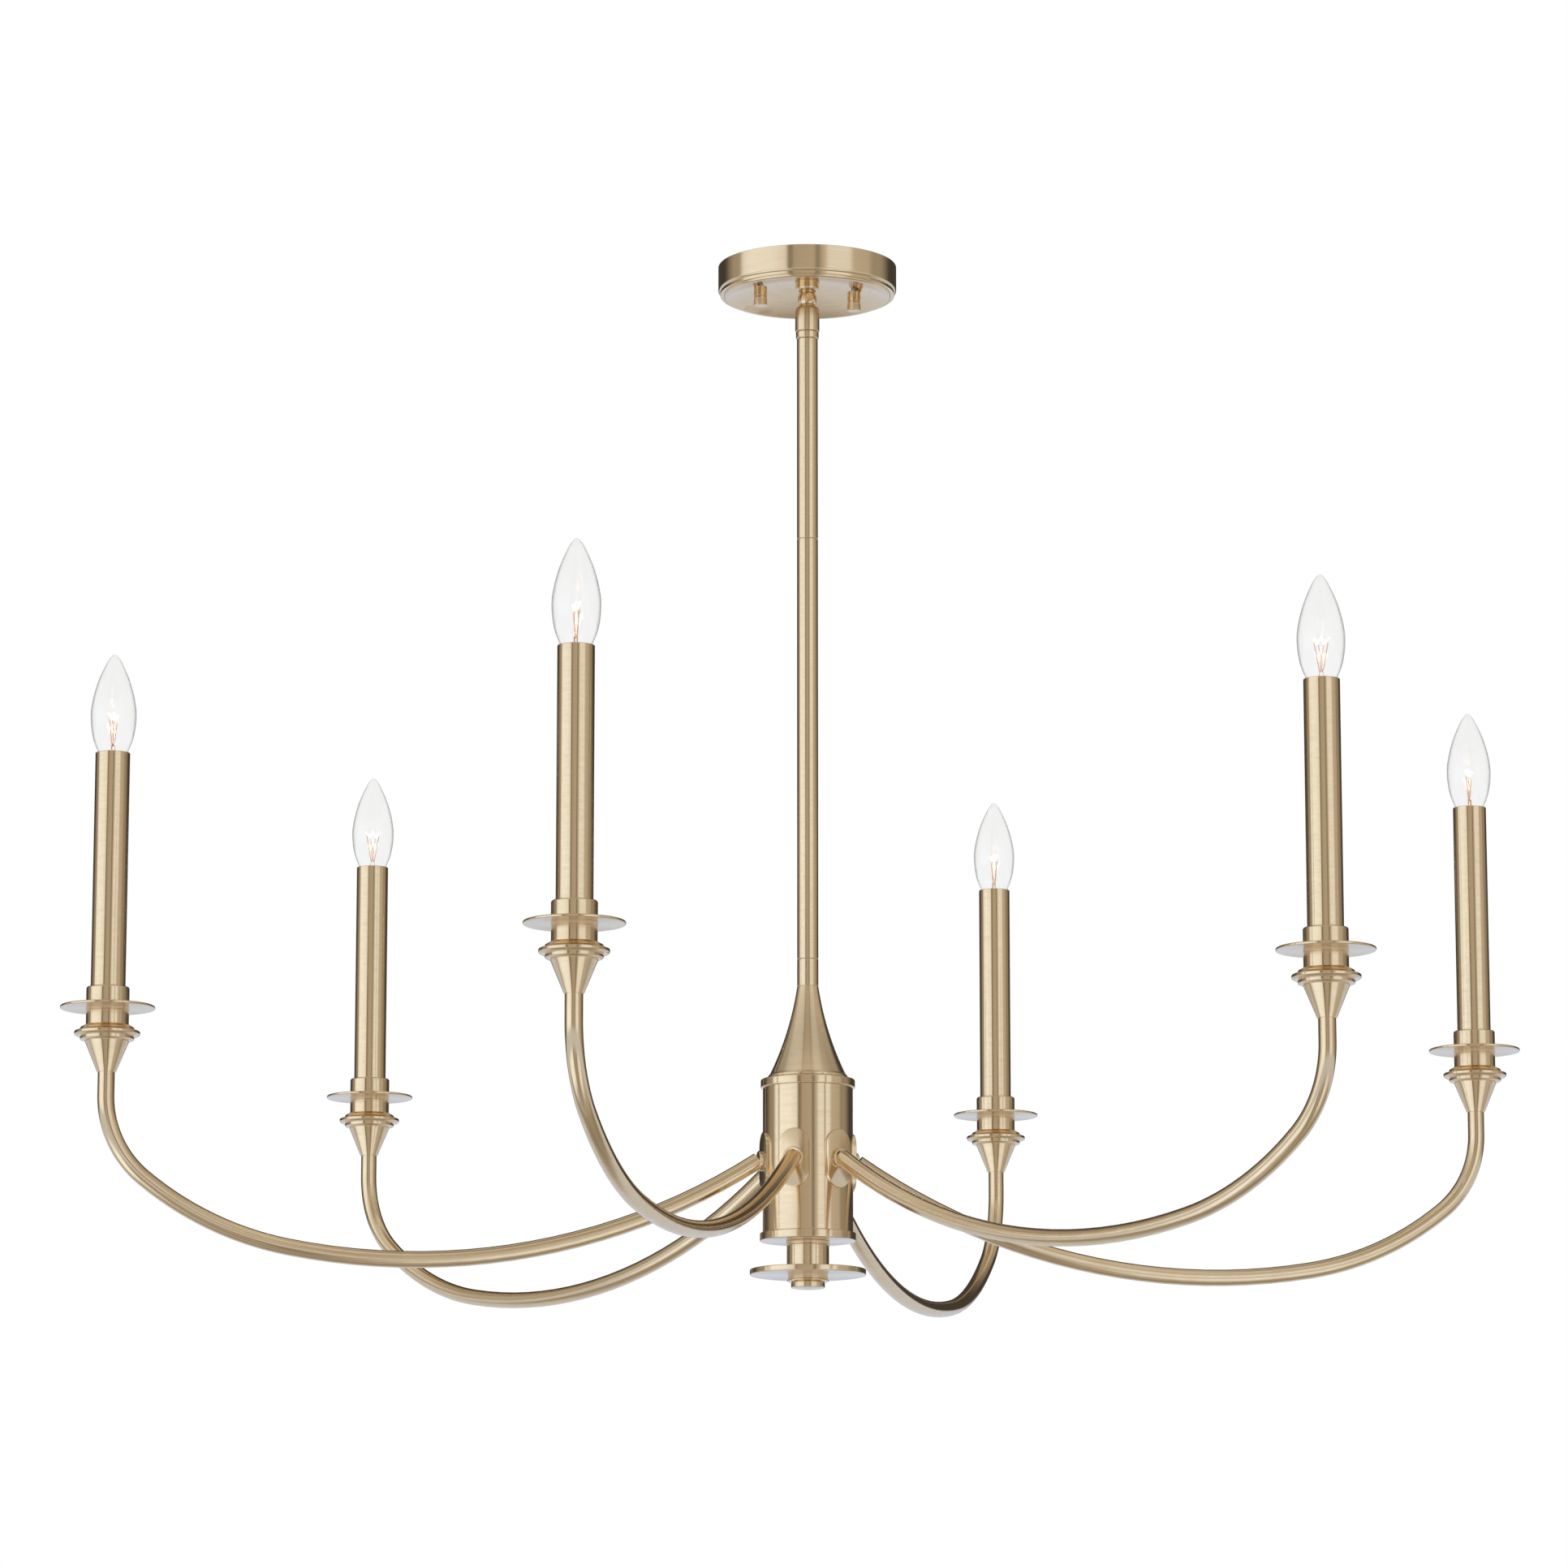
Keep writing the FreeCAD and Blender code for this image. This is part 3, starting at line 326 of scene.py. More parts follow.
def spun(name, points, steps=96, relief=None):
    """The closed mesh that a closed outline sweeps about Z. relief(turn, point) may add to a
    radius, for threads and knurling."""
    points = [Vector(p) for p in points]
    verts, rings = [], []
    for p in points:
        if p.x < 1e-6:
            rings.append([len(verts)] * steps)
            verts.append((0, 0, p.y * MM))
            continue
        rings.append(range(len(verts), len(verts) + steps))
        for k in range(steps):
            turn = TURN * k / steps
            r = p.x + (relief(turn, p) if relief else 0)
            verts.append((r * math.cos(turn) * MM, r * math.sin(turn) * MM, p.y * MM))
    faces, corners = [], []
    run = 0.0
    for i, p in enumerate(points):
        j = (i + 1) % len(points)
        reach = run + (points[j] - p).length * MM
        for k in range(steps):
            n = (k + 1) % steps
            loop = [(rings[i][k], k, run), (rings[i][n], k + 1, run),
                    (rings[j][n], k + 1, reach), (rings[j][k], k, reach)]
            kept = [q for m, q in enumerate(loop) if q[0] != loop[m - 1][0]]
            if len(kept) > 2:
                faces.append([q[0] for q in kept])
                corners += [(q[1] / steps, q[2]) for q in kept]
        run = reach
    mesh = bpy.data.meshes.new(name)
    mesh.from_pydata(verts, [], faces)
    layer = mesh.uv_layers.new(name=UV)
    layer.data.foreach_set("uv", [x for uv in corners for x in uv])
    return tidied(mesh)


def placed(mesh, x=0.0, y=0.0, z=0.0, turn=None):
    """Moves a mesh by millimetres, after turning it."""
    matrix = Matrix.Translation(Vector((x, y, z)) * MM)
    mesh.transform(matrix @ turn if turn else matrix)
    mesh.update()
    return mesh


def turned_about_hub(mesh, arm):
    """A copy of arm 1's mesh at another arm."""
    copy = mesh.copy()
    copy.transform(Matrix.Rotation(TURN / len(ARMS) * (arm - 1), 4, "Z"))
    copy.update()
    return copy


def joined(name, meshes):
    """One mesh of several, each a closed shell of its own."""
    work = bmesh.new()
    for mesh in meshes:
        work.from_mesh(mesh)
    whole = bpy.data.meshes.new(name)
    work.to_mesh(whole)
    work.free()
    return shade(whole)


def applied(piece):
    """The mesh that an object's modifiers make. The object itself is removed."""
    bpy.context.view_layer.update()
    graph = bpy.context.evaluated_depsgraph_get()
    mesh = bpy.data.meshes.new_from_object(piece.evaluated_get(graph))
    bpy.data.objects.remove(piece)
    return mesh


def carved(name, base, tool):
    """A mesh with another cut out of it."""
    body, other = show(name, base), show(name + "_tool", tool)
    step = body.modifiers.new("carve", "BOOLEAN")
    step.operation, step.object, step.solver = "DIFFERENCE", other, "EXACT"
    whole = applied(body)
    bpy.data.objects.remove(other)
    return shade(whole)


def finished(name, mesh, finish, body, slot, *nodes):
    """Shows a finished mesh with its finish on its body, and hides the nodes it stands for. The slot
    it is given is not used.
    """
    mesh.name = name
    mesh.materials.clear()
    mesh.materials.append(finish)
    piece = show(name, mesh)
    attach(piece, body)
    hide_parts(*nodes)


def turned_brass(name, outline, steps, replaced, body=CHANDELIER):
    """A brass piece turned about the main axis, in the place of a node."""
    finished(name, spun(name, outline, steps), material("turned_brass"), body, "satin_brass",
             replaced)


# ---- geometry nodes ---------------------------------------------------------------------
def new_tree(name, inputs):
    """A geometry tree with a Geometry input and output and other named inputs."""
    tree = bpy.data.node_groups.new(name, "GeometryNodeTree")
    tree.is_modifier = True
    tree.interface.new_socket("Geometry", in_out="INPUT", socket_type="NodeSocketGeometry")
    for label, kind in inputs:
        tree.interface.new_socket(label, in_out="INPUT", socket_type="NodeSocket" + kind)
    tree.interface.new_socket("Geometry", in_out="OUTPUT", socket_type="NodeSocketGeometry")
    return tree, tree.nodes.new("NodeGroupInput").outputs


def node(tree, kind, **sockets):
    """A new node. A value that is a socket is linked, any other is the socket's own value, and a
    name in lower case with no such socket is one of the node's settings."""
    made = tree.nodes.new(kind)
    for label, value in sockets.items():
        if hasattr(made, label) and label.islower():
            setattr(made, label, value)
    for label, value in sockets.items():
        if hasattr(made, label) and label.islower():
            continue
        key = int(label[1:]) if label[0] == "_" else label.replace("_", " ")
        socket = made.inputs[key]
        if isinstance(value, bpy.types.NodeSocket):
            tree.links.new(value, socket)
        else:
            socket.default_value = value
    return made


def math_node(tree, operation, a, b=0.0):
    """What a Math node gives for two values or sockets."""
    return node(tree, "ShaderNodeMath", operation=operation, _0=a, _1=b).outputs[0]


def end_tree(tree, geometry, finish):
    """Every tree ends by making its copies real and giving them their finish."""
    real = node(tree, "GeometryNodeRealizeInstances", Geometry=geometry)
    coated = node(tree, "GeometryNodeSetMaterial", Geometry=real.outputs[0], Material=finish)
    node(tree, "NodeGroupOutput", Geometry=coated.outputs[0])
    return tree


def around_axis_tree():
    """Copies of a piece, evenly round the main axis."""
    tree, given = new_tree("around_axis", [("Count", "Int"), ("Finish", "Material")])
    points = node(tree, "GeometryNodePoints", Count=given["Count"])
    step = math_node(tree, "DIVIDE", TURN, given["Count"])
    index = node(tree, "GeometryNodeInputIndex").outputs[0]
    euler = node(tree, "ShaderNodeCombineXYZ", Z=math_node(tree, "MULTIPLY", index, step))
    rotation = node(tree, "FunctionNodeEulerToRotation", Euler=euler.outputs[0])
    copies = node(tree, "GeometryNodeInstanceOnPoints", Points=points.outputs[0],
                  Instance=given["Geometry"], Rotation=rotation.outputs[0])
    return end_tree(tree, copies.outputs[0], given["Finish"])


def along_path_tree():
    """A round bar along a path of edges, closed at its ends."""
    tree, given = new_tree("bar_along_path", [("Radius", "Float"), ("Sides", "Int"),
                                              ("Finish", "Material")])
    curve = node(tree, "GeometryNodeMeshToCurve", Mesh=given["Geometry"])
    ring = node(tree, "GeometryNodeCurvePrimitiveCircle", Resolution=given["Sides"],
                Radius=given["Radius"])
    bar = node(tree, "GeometryNodeCurveToMesh", Curve=curve.outputs[0], Profile_Curve=ring.outputs[0],
               Fill_Caps=True)
    return end_tree(tree, bar.outputs[0], given["Finish"])


TREES = {}


def grown(name, mesh, kind, finish, **values):
    """Runs a geometry tree on a mesh and gives the result as a plain mesh."""
    if kind not in TREES:
        TREES[kind] = {"around": around_axis_tree, "along": along_path_tree}[kind]()
    tree = TREES[kind]
    piece = show(name, mesh)
    modifier = piece.modifiers.new(kind, "NODES")
    modifier.node_group = tree
    values["Finish"] = finish
    for item in tree.interface.items_tree:
        if item.in_out == "INPUT" and item.name in values:
            modifier[item.identifier] = values[item.name]
    result = applied(piece)
    if not result.polygons:
        raise RuntimeError(f"{name}: its geometry tree made no faces")
    return tidied(result) if kind == "along" else result


def bar(name, points, radius, finish, sides):
    """A bar along points in metres."""
    path = bpy.data.meshes.new(name)
    path.from_pydata(points, [(i, i + 1) for i in range(len(points) - 1)], [])
    return grown(name, path, "along", finish, Radius=radius, Sides=sides)


def around_hub(name, mesh, finish, slot, *nodes, count=len(ARMS), body=CHANDELIER):
    """A piece of arm 1, repeated at every arm."""
    ring = grown(name, mesh, "around", finish, Count=count)
    finished(name, ring, finish, body, slot, *nodes)


# ---- shader groups ----------------------------------------------------------------------
def new_group(name, inputs):
    """A shader group that gives the tone and height of a grain."""
    group = bpy.data.node_groups.new(name, "ShaderNodeTree")
    for label, kind, default in inputs:
        made = group.interface.new_socket(label, in_out="INPUT", socket_type="NodeSocket" + kind)
        if default is not None:
            made.default_value = default
    for label in ("Tone", "Height"):
        group.interface.new_socket(label, in_out="OUTPUT", socket_type="NodeSocketFloat")
    return group, group.nodes.new("NodeGroupInput").outputs


def end_grain(group, fine, broad, dark, light):
    """Ends a grain: the mean of its two noises, spread from dark to light, is its tone."""
    both = math_node(group, "MULTIPLY", math_node(group, "ADD", fine, broad), 0.5)
    tone = node(group, "ShaderNodeMapRange", Value=both, From_Min=dark, From_Max=light)
    node(group, "NodeGroupOutput", Tone=tone.outputs[0], Height=fine)
    return group


def turned_grain_group():
    """Brush lines that run round a turned piece, with broader uneven bands among them."""
    group, given = new_group("turned_grain", [("Wrap", "Vector", None), ("Line", "Float", 0.0004),
                                              ("Streaks", "Float", 1.6)])
    parts = node(group, "ShaderNodeSeparateXYZ", Vector=given["Wrap"]).outputs
    angle = math_node(group, "MULTIPLY", parts["X"], TURN)
    across = math_node(group, "MULTIPLY", math_node(group, "COSINE", angle), given["Streaks"])
    along = math_node(group, "MULTIPLY", math_node(group, "SINE", angle), given["Streaks"])
    rows = math_node(group, "DIVIDE", parts["Y"], given["Line"])
    found = []
    for coarse in (1.0, 0.12):
        place = node(group, "ShaderNodeCombineXYZ", X=across, Y=along,
                     Z=math_node(group, "MULTIPLY", rows, coarse))
        found.append(node(group, "ShaderNodeTexNoise", Vector=place.outputs[0], Scale=1.0, Detail=2.0,
                          Roughness=0.6).outputs[0])
    return end_grain(group, *found, 0.3, 0.7)


def satin_grain_group():
    """A fine even satin with faint clouding, in object space."""
    group, given = new_group("satin_grain", [("Place", "Vector", None), ("Grain", "Float", 0.0006),
                                             ("Clouds", "Float", 0.012)])
    found = []
    for size in ("Grain", "Clouds"):
        scale = math_node(group, "DIVIDE", 1.0, given[size])
        found.append(node(group, "ShaderNodeTexNoise", Vector=given["Place"], Scale=scale, Detail=2.0,
                          Roughness=0.55).outputs[0])
    return end_grain(group, *found, 0.35, 0.65)


GROUPS = {}


def placed_group(tree, name, **sockets):
    """A node that holds one of the shared shader groups."""
    if name not in GROUPS:
        GROUPS[name] = {"turned_grain": turned_grain_group, "satin_grain": satin_grain_group}[name]()
    made = tree.nodes.new("ShaderNodeGroup")
    made.node_tree = GROUPS[name]
    for label, value in sockets.items():
        if isinstance(value, bpy.types.NodeSocket):
            tree.links.new(value, made.inputs[label])
        else:
            made.inputs[label].default_value = value
    return made.outputs


# ---- materials --------------------------------------------------------------------------
def blank(name):
    """A material with only a Principled BSDF, its tree and that shader."""
    made = bpy.data.materials.new(name)
    made.use_nodes = True
    tree = made.node_tree
    tree.nodes.clear()
    shader = tree.nodes.new("ShaderNodeBsdfPrincipled")
    output = tree.nodes.new("ShaderNodeOutputMaterial")
    tree.links.new(shader.outputs[0], output.inputs["Surface"])
    return made, tree, shader


def blank_metal(name, lacquer):
    """A blank metal under a clear lacquer."""
    made, tree, shader = blank(name)
    shader.inputs["Metallic"].default_value = 1.0
    shader.inputs["Coat Weight"].default_value = lacquer
    shader.inputs["Coat Roughness"].default_value = LACQUER_ROUGHNESS
    return made, tree, shader


def mixed(tree, factor, first, last):
    """A colour that goes from the first to the last, each a tint or a socket."""
    made = node(tree, "ShaderNodeMix", data_type="RGBA", Factor=factor)
    for socket, value in ((made.inputs[6], first), (made.inputs[7], last)):
        if isinstance(value, bpy.types.NodeSocket):
            tree.links.new(value, socket)
        else:
            socket.default_value = (*value, 1)
    return made.outputs[2]


def grained(tree, shader, grain, light, dark, smooth, rough, depth):
    """Feeds a grain's tone to colour and roughness, and its height to a bump."""
    tree.links.new(mixed(tree, grain["Tone"], dark, light), shader.inputs["Base Color"])
    gloss = node(tree, "ShaderNodeMapRange", Value=grain["Tone"], To_Min=rough, To_Max=smooth)
    tree.links.new(gloss.outputs[0], shader.inputs["Roughness"])
    bump = node(tree, "ShaderNodeBump", Strength=1.0, Distance=depth, Height=grain["Height"])
    tree.links.new(bump.outputs[0], shader.inputs["Normal"])


def turned_metal(name, light, dark, smooth, rough, brushing, lacquer, line, depth=0.000004):
    """Metal brushed on a lathe: it reads the piece's wrap."""
    made, tree, shader = blank_metal(name, lacquer)
    shader.inputs["Anisotropic"].default_value = brushing
    shader.inputs["Anisotropic Rotation"].default_value = 0.25
    wrap = node(tree, "ShaderNodeUVMap", uv_map=UV)
    grain = placed_group(tree, "turned_grain", Wrap=wrap.outputs[0], Line=line)
    grained(tree, shader, grain, light, dark, smooth, rough, depth)
    tangent = node(tree, "ShaderNodeTangent", direction_type="UV_MAP", uv_map=UV)
    tree.links.new(tangent.outputs[0], shader.inputs["Tangent"])
    return made


def satin(tree, shader, sizes, light, dark, smooth, rough, depth):
    """Gives a shader the satin grain, with the sizes that the group takes."""
    place = node(tree, "ShaderNodeTexCoord").outputs["Object"]
    grain = placed_group(tree, "satin_grain", Place=place, **sizes)
    grained(tree, shader, grain, light, dark, smooth, rough, depth)


def satin_metal(name, light, dark, smooth, rough, lacquer=0.0, grain=0.0006, depth=0.000002):
    """Metal with an even satin."""
    made, tree, shader = blank_metal(name, lacquer)
    satin(tree, shader, {"Grain": grain}, light, dark, smooth, rough, depth)
    return made


def moulded(name, tint):
    """Moulded plastic or paint."""
    made, tree, shader = blank(name)
    satin(tree, shader, {"Grain": 0.0012}, tint, dimmed(tint, 0.85), 0.35, 0.5, 0.00001)
    return made


def clear_glass(name):
    """Thin glass whose colour is painted dark where its wall is seen edge on: painted shade that
    stands in for the dark reflections at the edges of real glass.
    """
    made, tree, shader = blank(name)
    facing = node(tree, "ShaderNodeLayerWeight", Blend=0.5).outputs["Facing"]
    # painted shade: the glass's colour goes from near white to dark grey as its wall turns edge on
    rim = node(tree, "ShaderNodeMapRange", Value=facing, From_Min=0.6, From_Max=1.0)
    tint = mixed(tree, rim.outputs[0], (0.955, 0.955, 0.95), (0.16, 0.16, 0.16))
    tree.links.new(tint, shader.inputs["Base Color"])
    shader.inputs["Transmission Weight"].default_value = 1.0
    shader.inputs["Roughness"].default_value = 0.0
    shader.inputs["IOR"].default_value = 1.47
    return made


def glowing(name, tint, strength):
    """A filament that burns."""
    made, _, shader = blank(name)
    shader.inputs["Base Color"].default_value = (*tint, 1)
    shader.inputs["Roughness"].default_value = 0.6
    shader.inputs["Emission Color"].default_value = (*tint, 1)
    shader.inputs["Emission Strength"].default_value = strength
    return made


def dimmed(tint, factor):
    """A tint made darker."""
    return [c * factor for c in tint]


FINISHES = {}


def make_material(name):
    """Builds the finish of that name from its settings."""
    brass, others = settings("brass"), settings("others")
    if name == "turned_brass":
        return turned_metal(name, brass.light, brass.dark, brass.smooth, brass.rough,
                            brass.brushing, brass.lacquer, brass.line)
    if name == "soft_brass":
        return satin_metal(name, brass.light, brass.dark, brass.smooth, brass.rough, brass.lacquer)
    if name == "zinc_plate":
        return satin_metal(name, others.zinc, dimmed(others.zinc, 0.8), 0.32, 0.5, grain=0.002,
                           depth=0.00001)
    if name == "nickel":
        return turned_metal(name, others.nickel, dimmed(others.nickel, 0.9), 0.2, 0.3,
                            brushing=0.3, lacquer=0.0, line=0.0004)
    if name == "shell_brass":
        return satin_metal(name, others.shell, dimmed(others.shell, 0.85), 0.25, 0.35)
    if name == "lead_wire":
        return satin_metal(name, others.lead, dimmed(others.lead, 0.85), 0.2, 0.3)
    if name == "bulb_glass":
        return clear_glass(name)
    if name == "filament":
        return glowing(name, others.glow, others.glow_strength)
    tints = {"green_paint": others.green, "wire_nut": others.nut, "cable": others.cable,
             "moulded_plastic": others.socket, "dark_glass": others.insulator}
    return moulded(name, tints[name])


def material(name):
    """One of this object's finishes, made when it is first asked for."""
    if name not in FINISHES:
        FINISHES[name] = make_material(name)
    return FINISHES[name]


def coat(node_name, name):
    """Gives a CAD node that stays its finish."""
    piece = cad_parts[node_name]
    piece.data.materials.clear()
    piece.data.materials.append(material(name))


# ---- operators --------------------------------------------------------------------------
class MakeHangingHardware(bpy.types.Operator):
    """Finishes the strap, studs, nipple, connectors and leads above the canopy"""

    bl_idname = "chandelier.hanging_hardware"
    bl_label = "Hanging hardware"

    def execute(self, context):
        for name in ("mounting_strap", "canopy_studs", "hang_nipple", "nipple_nut"):
            coat(name, "zinc_plate")
        coat("ground_screw", "green_paint")
        coat("wire_nuts", "wire_nut")
        coat("canopy_leads", "cable")
        return {"FINISHED"}


class MakeCanopy(bpy.types.Operator):
    """Turns the canopy pan: a straight side, a rounded lip, a bead and a dished underside"""

    bl_idname = "chandelier.canopy"
    bl_label = "Canopy"

    def execute(self, context):
        sizes = settings("canopy")
        wall, lip = sizes.wall / MM, sizes.lip / MM
        side, top, foot = wide("canopy_pan"), high("canopy_pan"), low("canopy_pan")
        bead = side - sizes.bead / MM
        step = foot + 3.7
        seam_r, seam_z = side - lip - 1.0, step + 0.8
        edge_r, edge_z, rise, hole = 57.5, foot + 0.6, 12.1, 8.9
        dish = [edge_r + (hole - edge_r) * k / 12 for k in range(13)]
        under = [(r, edge_z + rise * (1 - (r / edge_r) ** 2)) for r in dish]
        upper = [(r, z + wall) for r, z in reversed(under)]
        corner = rounded([(side - wall, top), (side, top, 0.25), (side, step, lip), (seam_r, step),
                          (seam_r, seam_z), (bead, seam_z), (bead, foot, 2.1),
                          (edge_r, foot + 0.3, 0.5), (edge_r - 8, edge_z + 4.0)])[:-1]
        outline = corner + [Vector(p) for p in under[1:] + upper]
        outline.append(Vector((side - wall, upper[-1][1])))
        turned_brass("canopy", outline, 192, "canopy_pan", ROOT)
        return {"FINISHED"}


def knurling(foot, top):
    """Relief of crossed grooves between two heights."""
    sizes = settings("canopy")
    diamond = 1.3

    def relief(turn, p):
        if not foot < p.y < top:
            return 0.0
        slope, round_ = (p.y - foot) * TURN / diamond, turn * sizes.knurls
        crossed = abs(math.sin((round_ + slope) / 2)) * abs(math.sin((round_ - slope) / 2))
        return -sizes.knurl / MM * (1 - crossed)

    return relief


class MakeKnobs(bpy.types.Operator):
    """Turns the two canopy knobs and the sleeves above them"""

    bl_idname = "chandelier.knobs"
    bl_label = "Canopy knobs"

    def execute(self, context):
        r = wide("canopy_knob_1") - KNOB_X
        foot, joint, top = low("canopy_knob_1"), high("canopy_knob_1"), high("knob_spacers")
        bore, well, groove = 2.1, joint - 5.2, r - 0.35
        brass = material("turned_brass")
        sleeve = spun("sleeve", rounded([(bore, joint), (r, joint, 0.4), (r, top, 0.4),
                                         (bore, top)]), 48)
        around_hub("knob_sleeves", placed(sleeve, x=KNOB_X), brass, "satin_brass", "knob_spacers",
                   count=2, body=ROOT)
        band = [foot + 1.0 + 0.13 * k for k in range(32)]
        outline = rounded([(0, foot), (r, foot, 0.7), (r, band[0])])
        outline += [Vector((r, z)) for z in band] + rounded([
            (r, joint - 1.6), (groove, joint - 1.6), (groove, joint - 1.0), (r, joint - 1.0),
            (r, joint, 0.5), (bore, joint), (bore, well), (0, well)])
        knob = spun("knob", outline, 156, knurling(band[0], band[-1]))
        for i, side in ((1, 1), (2, -1)):
            copy = placed(knob.copy(), x=side * KNOB_X)
            finished(f"canopy_knob_{i}_knurled", copy, brass, f"canopy_knob_{i}", "satin_brass",
                     f"canopy_knob_{i}")
        return {"FINISHED"}


def half_ball(name, r, neck, side):
    """Half of the knuckle's ball, cut on the plane of its screw's seat, with its neck."""
    steps, gap, size, clearance = 24, 0.05, 40, 1.02
    turns = [math.pi * k / steps for k in range(steps + 1)]
    outline = [(r * math.sin(turn), r * math.cos(turn)) for turn in turns]
    outline[0], outline[-1] = (0, r), (0, -r)
    ball = placed(spun(name, outline, 64), z=BALL_Z)
    box = bpy.data.meshes.new(name + "_box")
    work = bmesh.new()
    bmesh.ops.create_cube(work, size=size * MM)
    middle_y = -side * (size / 2 - gap)
    bmesh.ops.translate(work, verts=work.verts, vec=Vector((0, middle_y, BALL_Z)) * MM)
    work.to_mesh(box)
    work.free()
    half = carved(name, ball, box)
    clear = placed(spun(name, [(x * clearance, z * clearance) for x, z in outline], 64), z=BALL_Z)
    return joined(name, [half, carved(name, neck, clear)])


class MakeSwivel(bpy.types.Operator):
    """Turns the swivel: collar, ball knuckle with its slotted screw, coupler and ring"""

    bl_idname = "chandelier.swivel"
    bl_label = "Swivel"

    def execute(self, context):
        brass = material("turned_brass")
        r, top, foot = wide("swivel_collar"), high("swivel_collar"), low("swivel_collar")
        mouth, ledge = 6.3, foot + 3.6
        collar = rounded([(THREAD_BORE, top), (r, top, 0.4), (r, foot, 2.2), (mouth, foot, 0.12),
                          (mouth, ledge), (THREAD_BORE, ledge)])
        turned_brass("swivel_collar_turned", collar, 96, "swivel_collar", ROOT)
        ball_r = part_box("swivel_upper")[1].y / MM
        neck_r, start, end = 5.8, BALL_Z + 3, foot + 3.0
        upper = spun("neck", [(0, start), (neck_r, start), (neck_r, end), (0, end)], 64)
        finished("knuckle_upper", half_ball("knuckle_upper", ball_r, upper, 1), brass, ROOT,
                 "satin_brass", "swivel_upper")
        shank, thread_r = low("swivel_lower"), 4.85
        r, top, foot = wide("coupler"), high("coupler"), low("coupler")
        shoulder = BALL_Z - 6.2
        lower = spun("neck", rounded([
            (0, BALL_Z - 3), (neck_r, BALL_Z - 3), (neck_r, shoulder + 0.6, 0.3), (r, shoulder, 3.0),
            (r, top, 0.1), (thread_r, top), (thread_r, shank), (0, shank)]), 96)
        finished("knuckle_lower", half_ball("knuckle_lower", ball_r, lower, -1), brass, SWIVEL,
                 "satin_brass", "swivel_lower")
        coat("knuckle_screw", "soft_brass")
        ring_r, ring_bore, split = 8.3, 6.4, foot + 5.4
        bore, top = thread_r + 0.15, top - 0.06
        outlines = {
            "coupler": [(bore, split), (r, split, 0.6), (r, top, 0.1), (bore, top)],
            "coupler_ring": [(ring_bore, foot), (ring_r, foot, 0.9), (ring_r, split, 0.7),
                             (ring_bore, split)],
        }
        for name, corners in outlines.items():
            turned_brass(name + "_turned", rounded(corners), 96, "coupler")
        return {"FINISHED"}


class MakeStem(bpy.types.Operator):
    """Turns the two stem tubes and the short collar at their foot"""

    bl_idname = "chandelier.stem"
    bl_label = "Stem"

    def execute(self, context):
        for name in ("stem_upper", "stem_lower", "stem_end_collar"):
            r, top, foot, bore = wide(name), high(name), low(name), 5.0
            tube = rounded([(bore, foot), (r, foot, 0.55), (r, top, 0.55), (bore, top)])
            turned_brass(name + "_brushed", tube, 96, name)
        return {"FINISHED"}


class MakeBell(bpy.types.Operator):
    """Turns the flared bell between stem and hub, with its rolled lip"""

    bl_idname = "chandelier.bell"
    bl_label = "Bell"

    def execute(self, context):
        neck, top, foot = wide("stem_end_collar"), high("bell"), low("bell")
        lip, edge, wall, crown = 3.6, 27.2, 1.3, top - 3.0
        flare = ((neck + edge) / 2 - 2.9, (top + foot + lip) / 2 + 0.9)
        outer = bowed((neck, top), flare, (edge, foot + lip), 40)
        roll = bowed((edge, foot + lip), (edge + 1.3, foot + lip / 2), (edge + 0.5, foot), 10)
        inner = bowed((edge - wall, foot + lip), (flare[0] - wall - 0.1, flare[1] - 0.6),
                      (neck - 0.9, crown), 24)
        outline = outer + roll[1:] + [Vector((edge - wall, foot))] + inner
        outline += [Vector((THREAD_BORE, crown)), Vector((THREAD_BORE, top))]
        turned_brass("bell_turned", outline, 128, "bell")
        return {"FINISHED"}


class MakeHub(bpy.types.Operator):
    """Turns the hub's shell and its two rimmed plates"""

    bl_idname = "chandelier.hub"
    bl_label = "Hub"

    def execute(self, context):
        shell_r, thread, lip = wide("hub_shell"), THREAD_BORE, 3
        high_rim, low_rim = high("hub_shell"), low("hub_shell")
        inner = shell_r - 2.0
        top_r, top = wide("hub_top_plate"), high("hub_top_plate")
        bottom_r, foot = wide("hub_bottom_plate"), low("hub_bottom_plate")
        outlines = {
            "hub_top_plate": [(thread, high_rim - lip), (inner, high_rim - lip), (inner, high_rim),
                              (top_r, high_rim, 0.5), (top_r, top, 0.9), (thread, top)],
            "hub_shell": [(inner, low_rim), (shell_r, low_rim, 0.15), (shell_r, high_rim, 0.15),
                          (inner, high_rim)],
            "hub_bottom_plate": [(thread, foot), (bottom_r, foot, 0.5), (bottom_r, low_rim, 0.9),
                                 (inner, low_rim), (inner, low_rim + lip), (thread, low_rim + lip)],
        }
        for name, corners in outlines.items():
            turned_brass(name + "_turned", rounded(corners), 160, name)
        return {"FINISHED"}


